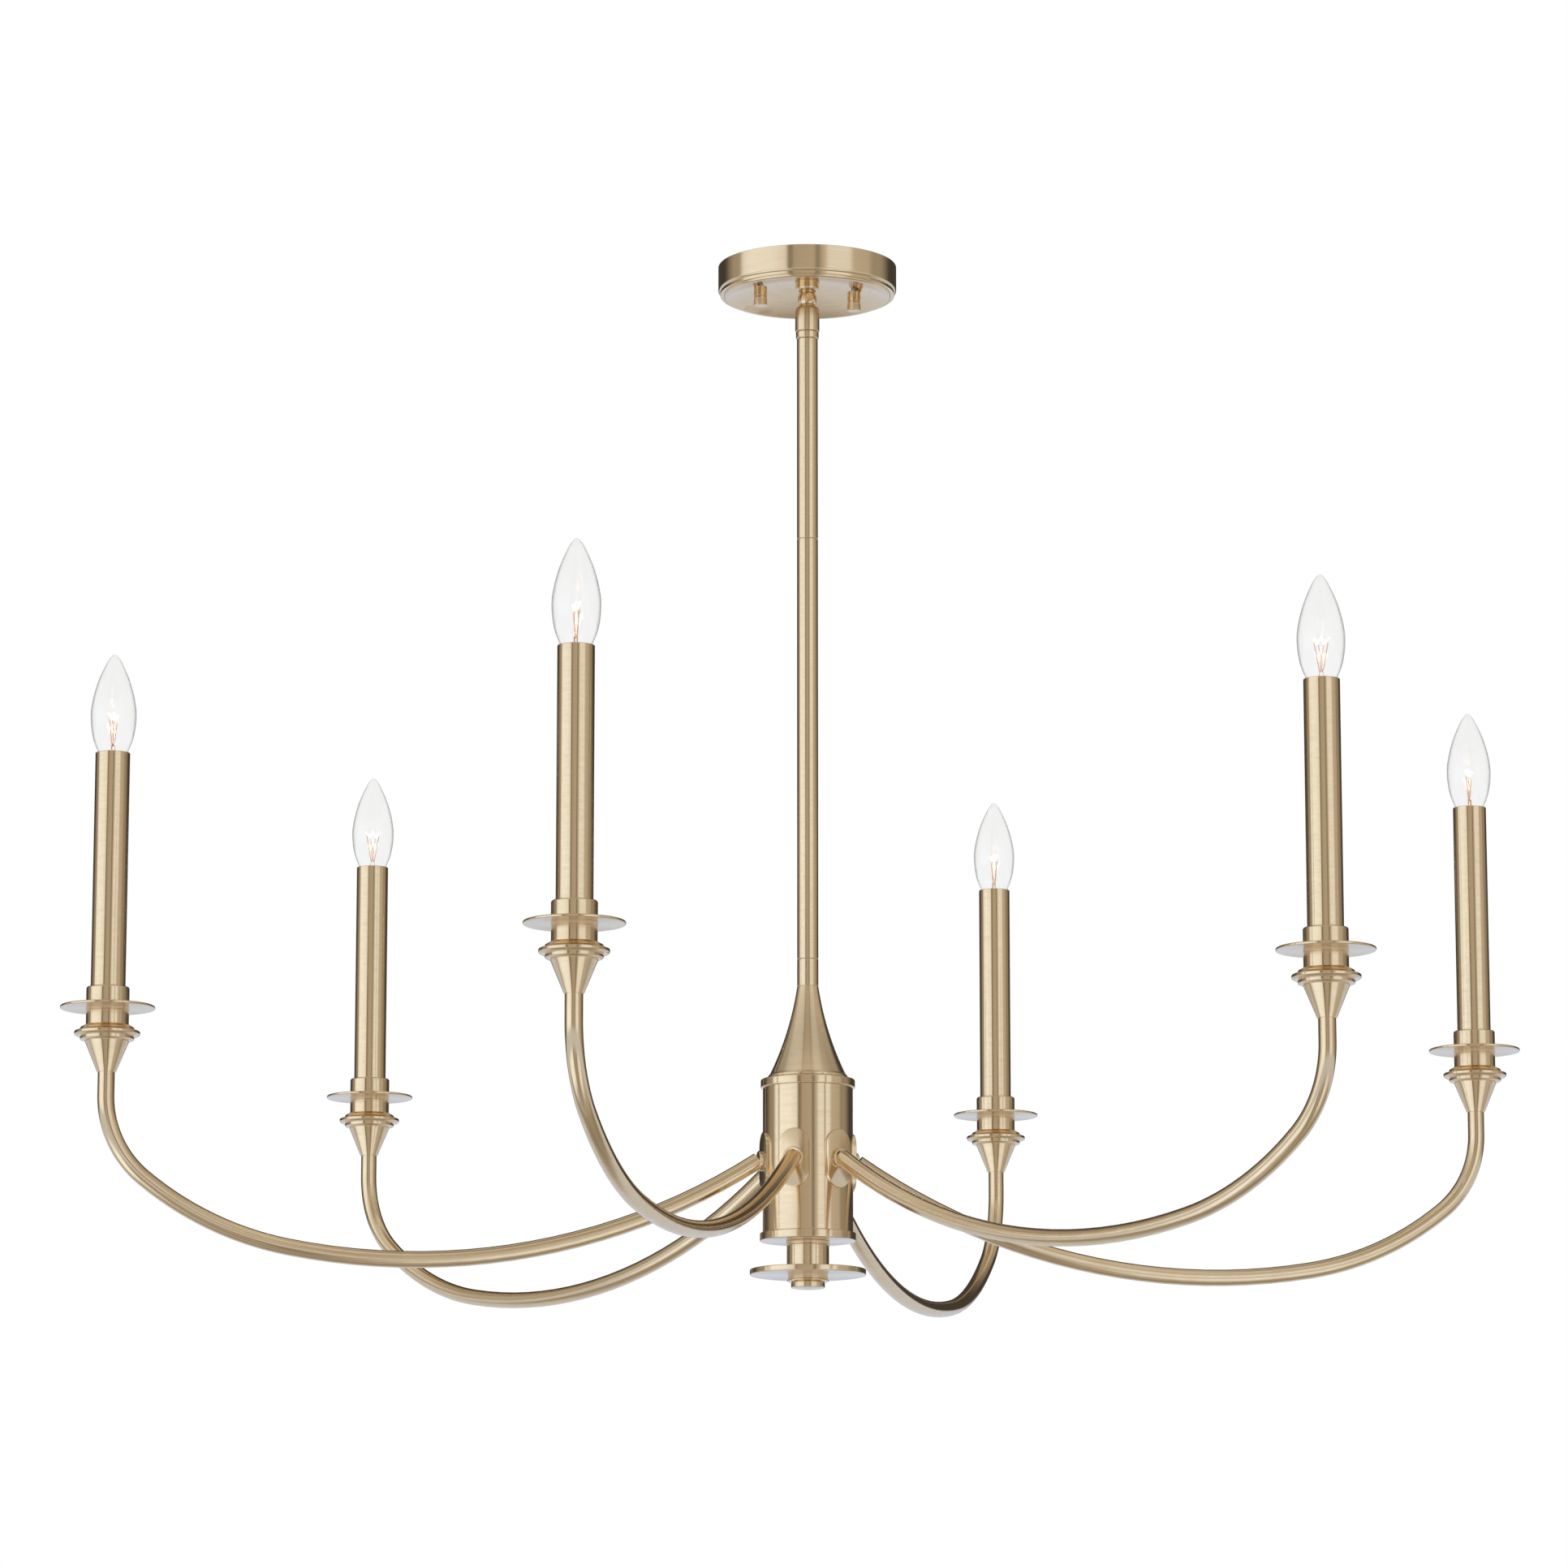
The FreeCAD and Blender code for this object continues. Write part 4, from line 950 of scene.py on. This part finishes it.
class MakeFoot(bpy.types.Operator):
    """Turns the post, disc, collar and finial below the hub"""

    bl_idname = "chandelier.foot"
    bl_label = "Foot"

    def execute(self, context):
        thread = THREAD_BORE
        top_r, top, foot = wide("bottom_post"), high("bottom_post"), low("bottom_post")
        r = top_r - 0.5
        disc_r, disc_foot = wide("bottom_disc"), low("bottom_disc")
        collar_r, collar_foot = wide("bottom_collar"), low("bottom_collar")
        cap_r, cap_foot = wide("finial_cap"), low("finial_cap")
        outlines = {
            "bottom_post": [(thread, foot), (r, foot), (r, top - 3.0, 0.3), (top_r, top - 2.6, 0.3),
                            (top_r, top, 0.3), (thread, top)],
            "bottom_disc": [(thread, disc_foot), (disc_r, disc_foot, 0.6), (disc_r, foot, 0.6),
                            (thread, foot)],
            "bottom_collar": [(thread, collar_foot), (collar_r - 1.5, collar_foot, 0.2),
                              (collar_r, collar_foot + 0.6, 0.2), (collar_r, collar_foot + 1.4, 0.2),
                              (collar_r - 0.7, collar_foot + 1.9), (collar_r - 0.7, disc_foot),
                              (thread, disc_foot)],
            "finial_cap": [(0, cap_foot), (cap_r, cap_foot, 0.8), (cap_r, collar_foot, 0.5),
                           (0, collar_foot)],
        }
        for name, corners in outlines.items():
            turned_brass(name + "_turned", rounded(corners), 128, name)
        return {"FINISHED"}


def plate_mesh(face, hub_r, wide_half, tall_half):
    """An oval plate whose flat face stands at face and whose back fits the round hub."""
    straight = tall_half - wide_half
    steps = 20
    rings = []
    for inset, x in ((0.0, None), (0.0, face - 0.7), (0.25, face - 0.2), (0.7, face)):
        r = wide_half - inset
        ring = []
        for k in range(2 * steps):
            lower_half = k >= steps
            turn = math.pi * (lower_half + (k % steps + 0.5) / steps)
            y, z = r * math.cos(turn), r * math.sin(turn) + (-straight if lower_half else straight)
            ring.append((x if x is not None else math.sqrt(hub_r ** 2 - y * y), y, z))
        rings.append(ring)
    count = 2 * steps
    verts = [Vector(p) * MM for ring in rings for p in ring]
    faces = []
    for i in range(len(rings) - 1):
        here, ahead = i * count, (i + 1) * count
        for k in range(count):
            n = (k + 1) % count
            faces.append([here + k, here + n, ahead + n, ahead + k])
    faces.append([ahead + k for k in range(count)])
    faces += [[k, k + 1, count - 2 - k, count - 1 - k] for k in range(steps - 1)]
    mesh = bpy.data.meshes.new("plate")
    mesh.from_pydata(verts, [], faces)
    return tidied(mesh)


class MakeArmMounts(bpy.types.Operator):
    """Makes the oval plates on the hub and the ring collars that the arms butt against"""

    bl_idname = "chandelier.arm_mounts"
    bl_label = "Arm mounts"

    def execute(self, context):
        face, wide_half = wide("arm_plates"), 11.2
        tall_half = (high("arm_plates") - low("arm_plates")) / 2
        plate = placed(plate_mesh(face, wide("hub_shell"), wide_half, tall_half), z=ARM_Z)
        around_hub("arm_plates_oval", plate, material("soft_brass"), "satin_brass", "arm_plates")
        r, out = (high("arm_ferrules") - low("arm_ferrules")) / 2, wide("arm_ferrules")
        bore, spigot, inside = 3.2, 4.8, face - 9
        outline = rounded([(bore, inside), (spigot, inside), (spigot, face), (r, face, 0.35),
                           (r, out, 0.9), (bore, out)])
        ring = placed(spun("ring", outline, 64), z=ARM_Z, turn=Matrix.Rotation(TURN / 4, 4, "Y"))
        around_hub("arm_ferrules_turned", ring, material("turned_brass"), "satin_brass",
                   "arm_ferrules")
        return {"FINISHED"}


def arm_line():
    """The arm's centre line in metres, in the plane of arm 1."""
    sizes = settings("arm")
    start_r = wide("arm_ferrules") * MM
    leave = -math.asin((sizes.low_reach - start_r) / sizes.first_bend)
    last = TURN / 4
    used = (sizes.first_bend * math.sin(sizes.first_angle)
            + sizes.second_bend * (math.sin(sizes.second_angle) - math.sin(sizes.first_angle)))
    small = (CANDLE_X * MM - sizes.low_reach - used) / (1 - math.sin(sizes.second_angle))
    x, z = start_r, ARM_Z * MM
    line = [(x, 0, z)]
    bends = ((sizes.first_bend, leave, sizes.first_angle),
             (sizes.second_bend, sizes.first_angle, sizes.second_angle),
             (small, sizes.second_angle, last))
    fineness = math.radians(2)
    for radius, begin, end in bends:
        steps = max(6, round((end - begin) / fineness))
        for k in range(1, steps + 1):
            a = begin + (end - begin) * k / steps
            line.append((x + radius * (math.sin(a) - math.sin(begin)), 0,
                         z + radius * (math.cos(begin) - math.cos(a))))
        x, z = line[-1][0], line[-1][2]
    top = (low("candle_cones") + 12) * MM
    return line + [(x, 0, z + (top - z) * k / 4) for k in range(1, 5)]


class MakeArms(bpy.types.Operator):
    """Bends the six arms, each a tube along its own line"""

    bl_idname = "chandelier.arms"
    bl_label = "Arms"

    def execute(self, context):
        sizes = settings("arm")
        brass = material("soft_brass")
        line = arm_line()
        for i in ARMS:
            spin = Matrix.Rotation(TURN / len(ARMS) * (i - 1), 3, "Z")
            points = [spin @ Vector(p) for p in line]
            tube = bar(f"arm_{i}_bent", points, sizes.tube, brass, sizes.sides)
            finished(f"arm_{i}_bent", tube, brass, CHANDELIER, "satin_brass", f"arm_{i}")
        return {"FINISHED"}


def at_candle(name, corners, steps=72):
    """A closed outline, with heights from the middle of the drip disc, turned at arm 1's candle."""
    return placed(spun(name, rounded(corners), steps), x=CANDLE_X, z=DRIP_Z)


class MakeCandleHolders(bpy.types.Operator):
    """Turns the cones, stepped flanges, cups, drip discs and collars"""

    bl_idname = "chandelier.candle_holders"
    bl_label = "Candle holders"

    def execute(self, context):
        thread, bore = THREAD_BORE, candle_radius("candle_sleeves") + 0.05
        foot, top = candle_low("candle_cones"), candle_high("candle_cones")
        flange_top = candle_high("cup_flanges")
        wide_r = candle_radius("cup_flanges")
        cup_r, cup_top = candle_radius("candle_cups"), candle_high("candle_cups")
        disc_r, half = candle_radius("bobeches"), (high("bobeches") - low("bobeches")) / 2
        collar_r, collar_top = candle_radius("sleeve_collars"), candle_high("sleeve_collars")
        arm_r, seat, cone_r, step_r = 5.9, foot + 12, 15.3, 18.8
        floor, groove = flange_top + 2.6, cup_r - 0.8
        outlines = {
            "candle_cones": [(arm_r, foot), (6.5, foot, 0.15), (cone_r, top - 0.6, 0.5),
                             (cone_r, top), (thread, top), (thread, seat), (arm_r, seat)],
            "cup_flanges": [(thread, top), (17.2, top, 0.3), (step_r, top + 0.8, 0.5),
                            (step_r, top + 3.2, 0.15),
                            (wide_r - 1.5, top + 3.2, 0.25), (wide_r, top + 4.4, 0.6),
                            (wide_r, top + 6.4, 0.8), (19.2, top + 7.6, 0.4), (18.6, top + 9.2, 0.9),
                            (15.6, flange_top, 0.3), (thread, flange_top)],
            "candle_cups": [(thread, flange_top), (cup_r - 0.3, flange_top),
                            (cup_r - 0.3, cup_top - 1.9, 0.1), (groove, cup_top - 1.7),
                            (groove, cup_top - 1.4), (cup_r, cup_top - 1.3, 0.2), (cup_r, cup_top),
                            (bore, cup_top), (bore, floor), (thread, floor)],
            "bobeches": [(bore, -half), (disc_r, -half, 0.6), (disc_r, half, 0.8), (bore, half)],
            "sleeve_collars": [(bore, half), (collar_r, half), (collar_r, collar_top, 1.3),
                               (bore, collar_top)],
        }
        brass = material("turned_brass")
        for name, corners in outlines.items():
            around_hub(name + "_turned", at_candle(name, corners, 96), brass, "satin_brass", name)
        return {"FINISHED"}


class MakeSleeves(bpy.types.Operator):
    """Turns the tall candle sleeves"""

    bl_idname = "chandelier.sleeves"
    bl_label = "Candle sleeves"

    def execute(self, context):
        name = "candle_sleeves"
        r, foot, top = candle_radius(name), candle_low(name), candle_high(name)
        bore = r - 0.8
        sleeve = at_candle(name, [(bore, foot), (r, foot), (r, top, 0.35), (bore, top, 0.2)])
        around_hub(name + "_brushed", sleeve, material("turned_brass"), "satin_brass", name)
        return {"FINISHED"}


class MakeSockets(bpy.types.Operator):
    """Makes the lamp sockets inside the sleeves"""

    bl_idname = "chandelier.sockets"
    bl_label = "Lamp sockets"

    def execute(self, context):
        name = "lamp_sockets"
        r, foot, top = candle_radius(name), candle_low(name), candle_high(name)
        well, wire_hole, seat, floor = 6.45, 2.0, foot + 3, foot + 5
        body = at_candle(name, [(THREAD_BORE, foot), (r, foot, 0.6), (r, top, 0.6), (well, top, 0.5),
                                (well, floor), (wire_hole, floor), (wire_hole, seat),
                                (THREAD_BORE, seat)], 48)
        around_hub(name + "_moulded", body, material("moulded_plastic"), "socket_plastic", name)
        coat("socket_shells", "shell_brass")
        return {"FINISHED"}


def flame_outline(wall):
    """The bulb's closed outline: up the outside to the tip and down the inside."""
    foot, tip, belly = candle_low("bulb_1_glass"), candle_high("bulb_1_glass"), 206.5
    rise, nose, steps = tip - belly, 2.4, 6
    knots = [(6.0, foot), (6.6, foot + 3.5), (10.3, foot + 11.9), (14.4, foot + 23.3), (16.0, belly),
             (14.7, belly + 0.27 * rise), (10.9, belly + 0.58 * rise), (5.2, belly + 0.87 * rise)]
    tilt = math.radians(65)
    knots.append((nose * math.sin(tilt), tip - nose + nose * math.cos(tilt)))
    side = flowing(knots, 7)
    leans = [tilt * k / steps for k in reversed(range(steps))]
    cap = [Vector((nose * math.sin(lean), tip - nose + nose * math.cos(lean))) for lean in leans]
    cap[-1].x = 0.0
    outer = side + cap
    inner = []
    for i, p in enumerate(outer):
        ahead, back = outer[min(i + 1, len(outer) - 1)], outer[max(i - 1, 0)]
        run = (ahead - back).normalized()
        inner.append(p + Vector((-run.y, run.x)) * wall)
    inner[0].y, inner[-1].x = outer[0].y, 0.0
    return outer + inner[::-1]


def thread_relief(foot, top, pitch, depth):
    """Relief of a round screw thread between two heights."""
    def relief(turn, p):
        if not foot <= p.y <= top:
            return 0.0
        fade = min(1.0, (p.y - foot) / pitch * 2, (top - p.y) / pitch * 2)
        return -depth * fade * (0.5 - 0.5 * math.cos(TURN * (p.y - foot) / pitch - turn))
    return relief


class MakeBulbs(bpy.types.Operator):
    """Makes the six clear flame bulbs, each on its own body"""

    bl_idname = "chandelier.bulbs"
    bl_label = "Bulbs"

    def execute(self, context):
        sizes = settings("bulb")
        glass_foot = candle_low("bulb_1_glass")
        cap_foot, cap_r = candle_low("bulb_1_base"), 5.9
        neck, row = glass_foot - 1.2, 0.3
        rows = [cap_foot + 3.0 + row * k for k in range(int((neck - cap_foot - 4.0) / row))]
        rim, rim_r, inner_r = glass_foot + 0.9, 6.05, 5.3
        cap_line = [(cap_r - 0.6, rows[0])] + [(cap_r, z) for z in rows] + [
            (cap_r, neck), (rim_r, glass_foot), (rim_r, rim), (5.4, rim), (inner_r, rows[-1])]
        relief = thread_relief(rows[1], rows[-6], sizes.thread / MM, sizes.thread_depth / MM)
        button, disc = cap_foot + 0.8, rows[0] + 1.5
        mount_line = rounded([(0, glass_foot - 4), (4.4, glass_foot - 4, 0.4),
                              (3.4, glass_foot + 3, 2.0), (1.9, glass_foot + 8.0, 4.0),
                              (1.5, glass_foot + 17.5, 0.7), (0, glass_foot + 18.0)])
        flame = flame_outline(sizes.wall / MM)
        shapes = {
            "envelope": ("bulb_glass", "clear_glass", spun("envelope", flame, 64)),
            "cap": ("nickel", "nickel_cap", spun("cap", cap_line, 48, relief)),
            "insulator": ("dark_glass", "nickel_cap", spun("insulator", rounded([
                (0, button), (2.2, button, 0.3), (inner_r, rows[0], 0.3), (inner_r, disc),
                (0, disc)]), 40)),
            "contact": ("nickel", "nickel_cap", spun("contact", rounded([
                (0, cap_foot), (1.8, cap_foot, 0.35), (1.8, button), (0, button)]), 32)),
            "mount": ("bulb_glass", "clear_glass", spun("mount", mount_line, 32)),
        }
        for _, _, mesh in shapes.values():
            placed(mesh, x=CANDLE_X, z=DRIP_Z)
        shapes["leads"] = ("lead_wire", "nickel_cap", self.leads(glass_foot))
        shapes["filament"] = ("filament", "nickel_cap", self.filament(glass_foot))
        for i in ARMS:
            for part, (finish, slot, mesh) in shapes.items():
                node_name = f"bulb_{i}_glass" if part == "envelope" else f"bulb_{i}_base"
                finished(f"bulb_{i}_{part}", turned_about_hub(mesh, i), material(finish),
                         f"bulb_{i}", slot, node_name)
        return {"FINISHED"}

    def bent(self, name, points, radius, finish, sides=8):
        """A wire through points given in millimetres from the candle's axis and drip disc."""
        turn = Matrix.Rotation(settings("bulb").fan, 3, "Z")
        foot = Vector((CANDLE_X, 0, DRIP_Z))
        line = [(turn @ Vector(point) + foot) * MM for point in points]
        return bar(name, line, radius, material(finish), sides)

    def leads(self, foot):
        """Two lead wires and two hooked supports, in a fan above the glass mount."""
        r = settings("bulb").lead
        wires = [self.bent("lead", [
            (s * 1.1, 0, foot + 5), (s * 1.3, 0, foot + 17), (s * 2.2, 0, foot + 22),
            (s * 5.0, 0, foot + 38), (s * 5.0, 0.6, foot + 39)], r, "lead_wire") for s in (-1, 1)]
        wires += [self.bent("support", [
            (s * 0.4, 0, foot + 16), (s * 0.6, s * 1.0, foot + 27), (s * 1.9, s * 0.4, foot + 35),
            (s * 2.1, 0.5, foot + 36), (s * 1.7, 0.2, foot + 36.4)], r * 0.8, "lead_wire")
            for s in (-1, 1)]
        return joined("leads", wires)

    def filament(self, foot):
        """The coil that hangs in a zigzag from lead to lead over the supports."""
        sizes = settings("bulb")
        knots = [(-5.0, 0, foot + 38.6), (-1.9, 0, foot + 35.8), (0, 0, foot + 39.5),
                 (1.9, 0, foot + 35.8), (5.0, 0, foot + 38.6)]
        points = []
        turns, steps, r = 26, 9, sizes.coil / MM
        total = turns * steps
        for k in range(total + 1):
            t = k / total * (len(knots) - 1)
            i = min(int(t), len(knots) - 2)
            place = Vector(knots[i]).lerp(Vector(knots[i + 1]), t - i)
            a = TURN * k / steps
            across, along = r * math.sin(a), r * math.cos(a)
            points.append((place.x + along * 0.4, place.y + across, place.z + along))
        return self.bent("filament", points, sizes.coil_wire, "filament", 5)


class MakeInnerParts(bpy.types.Operator):
    """Finishes the rod, nipples, nuts and wires inside"""

    bl_idname = "chandelier.inner_parts"
    bl_label = "Inner parts"

    def execute(self, context):
        for name in ("centre_rod", "stem_nipples", "candle_nipples", "lock_nuts"):
            coat(name, "zinc_plate")
        coat("lamp_wires", "cable")
        return {"FINISHED"}


# ---- stage ------------------------------------------------------------------------------
# Brightness of the room round the camera: degrees to the right of the direction to the camera,
# then red, green and blue.
SOFT_BOXES = (
    (-180, 0.05, 0.045, 0.04), (-138, 0.05, 0.045, 0.04), (-131, 0.31, 0.29, 0.26),
    (-98, 0.36, 0.34, 0.31), (-91, 1.00, 1.14, 1.38), (-78, 1.16, 1.34, 1.66),
    (-46, 1.13, 1.30, 1.60), (-28, 0.98, 1.08, 1.26), (-24, 0.13, 0.12, 0.10),
    (-20, 0.15, 0.14, 0.12), (-17, 0.44, 0.42, 0.39), (9, 0.50, 0.48, 0.45),
    (12, 0.16, 0.15, 0.13), (15, 0.18, 0.17, 0.15), (18, 0.50, 0.48, 0.45),
    (22, 0.56, 0.55, 0.53), (28, 0.98, 1.09, 1.30), (56, 0.98, 1.09, 1.30),
    (63, 0.58, 0.57, 0.56), (86, 0.52, 0.51, 0.49), (94, 0.32, 0.30, 0.27),
    (127, 0.30, 0.28, 0.25), (135, 0.05, 0.045, 0.04), (180, 0.05, 0.045, 0.04),
)

# Brightness of the room from the horizon up: the sine of the height, then the brightness.
OVERHEAD = ((0.0, 0.58), (0.45, 0.62), (0.62, 0.40), (0.74, 0.44), (0.86, 0.72), (0.93, 0.66),
            (0.98, 0.36), (1.0, 0.34))

DARK_END = (0.06, 0.055, 0.05)      # of the room, behind the object
COOL_WHITE = (0.66, 0.75, 0.93)     # below the horizon
FLOOR_GREY = (0.38, 0.37, 0.36)     # straight down


def ramp_node(tree, factor, stops):
    """A colour ramp with its stops given as places and colours."""
    ramp = node(tree, "ShaderNodeValToRGB", Fac=factor)
    made = ramp.color_ramp.elements
    while len(made) > 1:
        made.remove(made[-1])
    made[0].position, made[0].color = stops[0][0], (*stops[0][1], 1)
    for place, tint in stops[1:]:
        made.new(place).color = (*tint, 1)
    return ramp.outputs[0]


def soft_box_world(strength):
    """A white room with tall soft boxes, which only reflections see."""
    world = bpy.data.worlds.new("soft_boxes")
    world.use_nodes = True
    tree = world.node_tree
    tree.nodes.clear()
    stage = settings("stage")
    to_camera = Vector(stage.eye).xy.normalized()
    way = node(tree, "ShaderNodeTexCoord").outputs["Generated"]

    def along(x, y):
        found = node(tree, "ShaderNodeVectorMath", operation="DOT_PRODUCT", _0=way, _1=(x, y, 0.0))
        return found.outputs["Value"]

    forward = along(to_camera.x, to_camera.y)
    angle = math_node(tree, "ARCTAN2", along(-to_camera.y, to_camera.x), forward)
    round_ = node(tree, "ShaderNodeMapRange", Value=angle, From_Min=-math.pi, From_Max=math.pi)
    walls = ramp_node(tree, round_.outputs[0],
                      [((degrees + 180) / 360, tint) for degrees, *tint in SOFT_BOXES])
    height = node(tree, "ShaderNodeSeparateXYZ", Vector=way).outputs["Z"]
    overhead = ramp_node(tree, height, [(sine, (b, b, b * 0.99)) for sine, b in OVERHEAD])

    def over(value, start, end, first, last, most=1.0):
        """The first colour, going over to the last between two heights or directions."""
        factor = node(tree, "ShaderNodeMapRange", Value=value, From_Min=start, From_Max=end,
                      To_Max=most, interpolation_type="SMOOTHSTEP")
        return mixed(tree, factor.outputs[0], first, last)

    seen = over(height, 0.17, 0.45, walls, overhead, 0.72)
    seen = over(forward, -0.3, -0.72, seen, DARK_END)
    seen = over(height, 0.80, 0.95, seen, overhead)
    low_front = over(forward, -0.2, -0.5, walls, COOL_WHITE)
    seen = over(height, 0.02, -0.06, seen, COOL_WHITE)
    seen = over(height, -0.25, -0.45, seen, low_front)
    seen = over(height, -0.65, -0.9, seen, FLOOR_GREY, 0.8)
    room = node(tree, "ShaderNodeBackground", Color=seen, Strength=strength)
    white = node(tree, "ShaderNodeBackground", Color=(1, 1, 1, 1), Strength=1.0)
    path = node(tree, "ShaderNodeLightPath")
    through = math_node(tree, "GREATER_THAN", path.outputs["Transmission Depth"], 0.5)
    plain = math_node(tree, "MAXIMUM", path.outputs["Is Camera Ray"], through)
    plain = math_node(tree, "MAXIMUM", plain, path.outputs["Is Diffuse Ray"])
    both = node(tree, "ShaderNodeMixShader", Fac=plain, _1=room.outputs[0], _2=white.outputs[0])
    output = tree.nodes.new("ShaderNodeOutputWorld")
    tree.links.new(both.outputs[0], output.inputs["Surface"])
    return world


class MakeStage(bpy.types.Operator):
    """Makes the floor, the soft light and the camera"""

    bl_idname = "chandelier.stage"
    bl_label = "Stage"

    def execute(self, context):
        stage = settings("stage")
        scene = context.scene
        scene.world = soft_box_world(stage.strength)
        scene.view_settings.view_transform = "Standard"
        mesh = bpy.data.meshes.new("floor")
        work = bmesh.new()
        bmesh.ops.create_circle(work, cap_ends=True, segments=96, radius=9.0)
        bmesh.ops.translate(work, verts=work.verts, vec=(0, 0, -stage.floor_drop))
        work.to_mesh(mesh)
        work.free()
        floor = show("floor", mesh)
        pale, tree, shader = blank("pale_floor")
        satin(tree, shader, {"Grain": 0.01, "Clouds": 0.4}, stage.floor, dimmed(stage.floor, 0.97),
              0.7, 0.8, 0.0002)
        mesh.materials.append(pale)
        floor.visible_glossy = False
        camera = bpy.data.objects.new("camera", bpy.data.cameras.new("camera"))
        scene.collection.objects.link(camera)
        camera.data.lens, camera.data.sensor_width = stage.lens, 36.0
        camera.location = stage.eye
        view = Vector(stage.target) - Vector(stage.eye)
        camera.rotation_euler = view.to_track_quat("-Z", "Y").to_euler()
        scene.camera = camera
        return {"FINISHED"}


OPERATORS = (MakeHangingHardware, MakeCanopy, MakeKnobs, MakeSwivel, MakeStem, MakeBell, MakeHub,
             MakeFoot, MakeArmMounts, MakeArms, MakeCandleHolders, MakeSleeves, MakeSockets, MakeBulbs,
             MakeInnerParts, MakeStage)


class ChandelierPanel(bpy.types.Panel):
    """Lists the operators in the sidebar"""

    bl_idname = "VIEW3D_PT_chandelier"
    bl_label = "Candle Chandelier"
    bl_space_type = "VIEW_3D"
    bl_region_type = "UI"
    bl_category = "Chandelier"

    def draw(self, context):
        for operator in OPERATORS:
            self.layout.operator(operator.bl_idname)


def register():
    """Registers the groups, operators and panel, and gives the scene its settings."""
    for part, group in SETTINGS.items():
        bpy.utils.register_class(group)
        setattr(bpy.types.Scene, "chandelier_" + part, PointerProperty(type=group))
    for made in (*OPERATORS, ChandelierPanel):
        bpy.utils.register_class(made)


def unregister():
    """Undoes register."""
    for made in reversed((*OPERATORS, ChandelierPanel)):
        bpy.utils.unregister_class(made)
    for part, group in reversed(SETTINGS.items()):
        delattr(bpy.types.Scene, "chandelier_" + part)
        bpy.utils.unregister_class(group)


def main():
    """Runs every operator in order."""
    register()
    for operator in OPERATORS:
        family, name = operator.bl_idname.split(".")
        getattr(getattr(bpy.ops, family), name)()


if __name__ == "__main__":
    main()
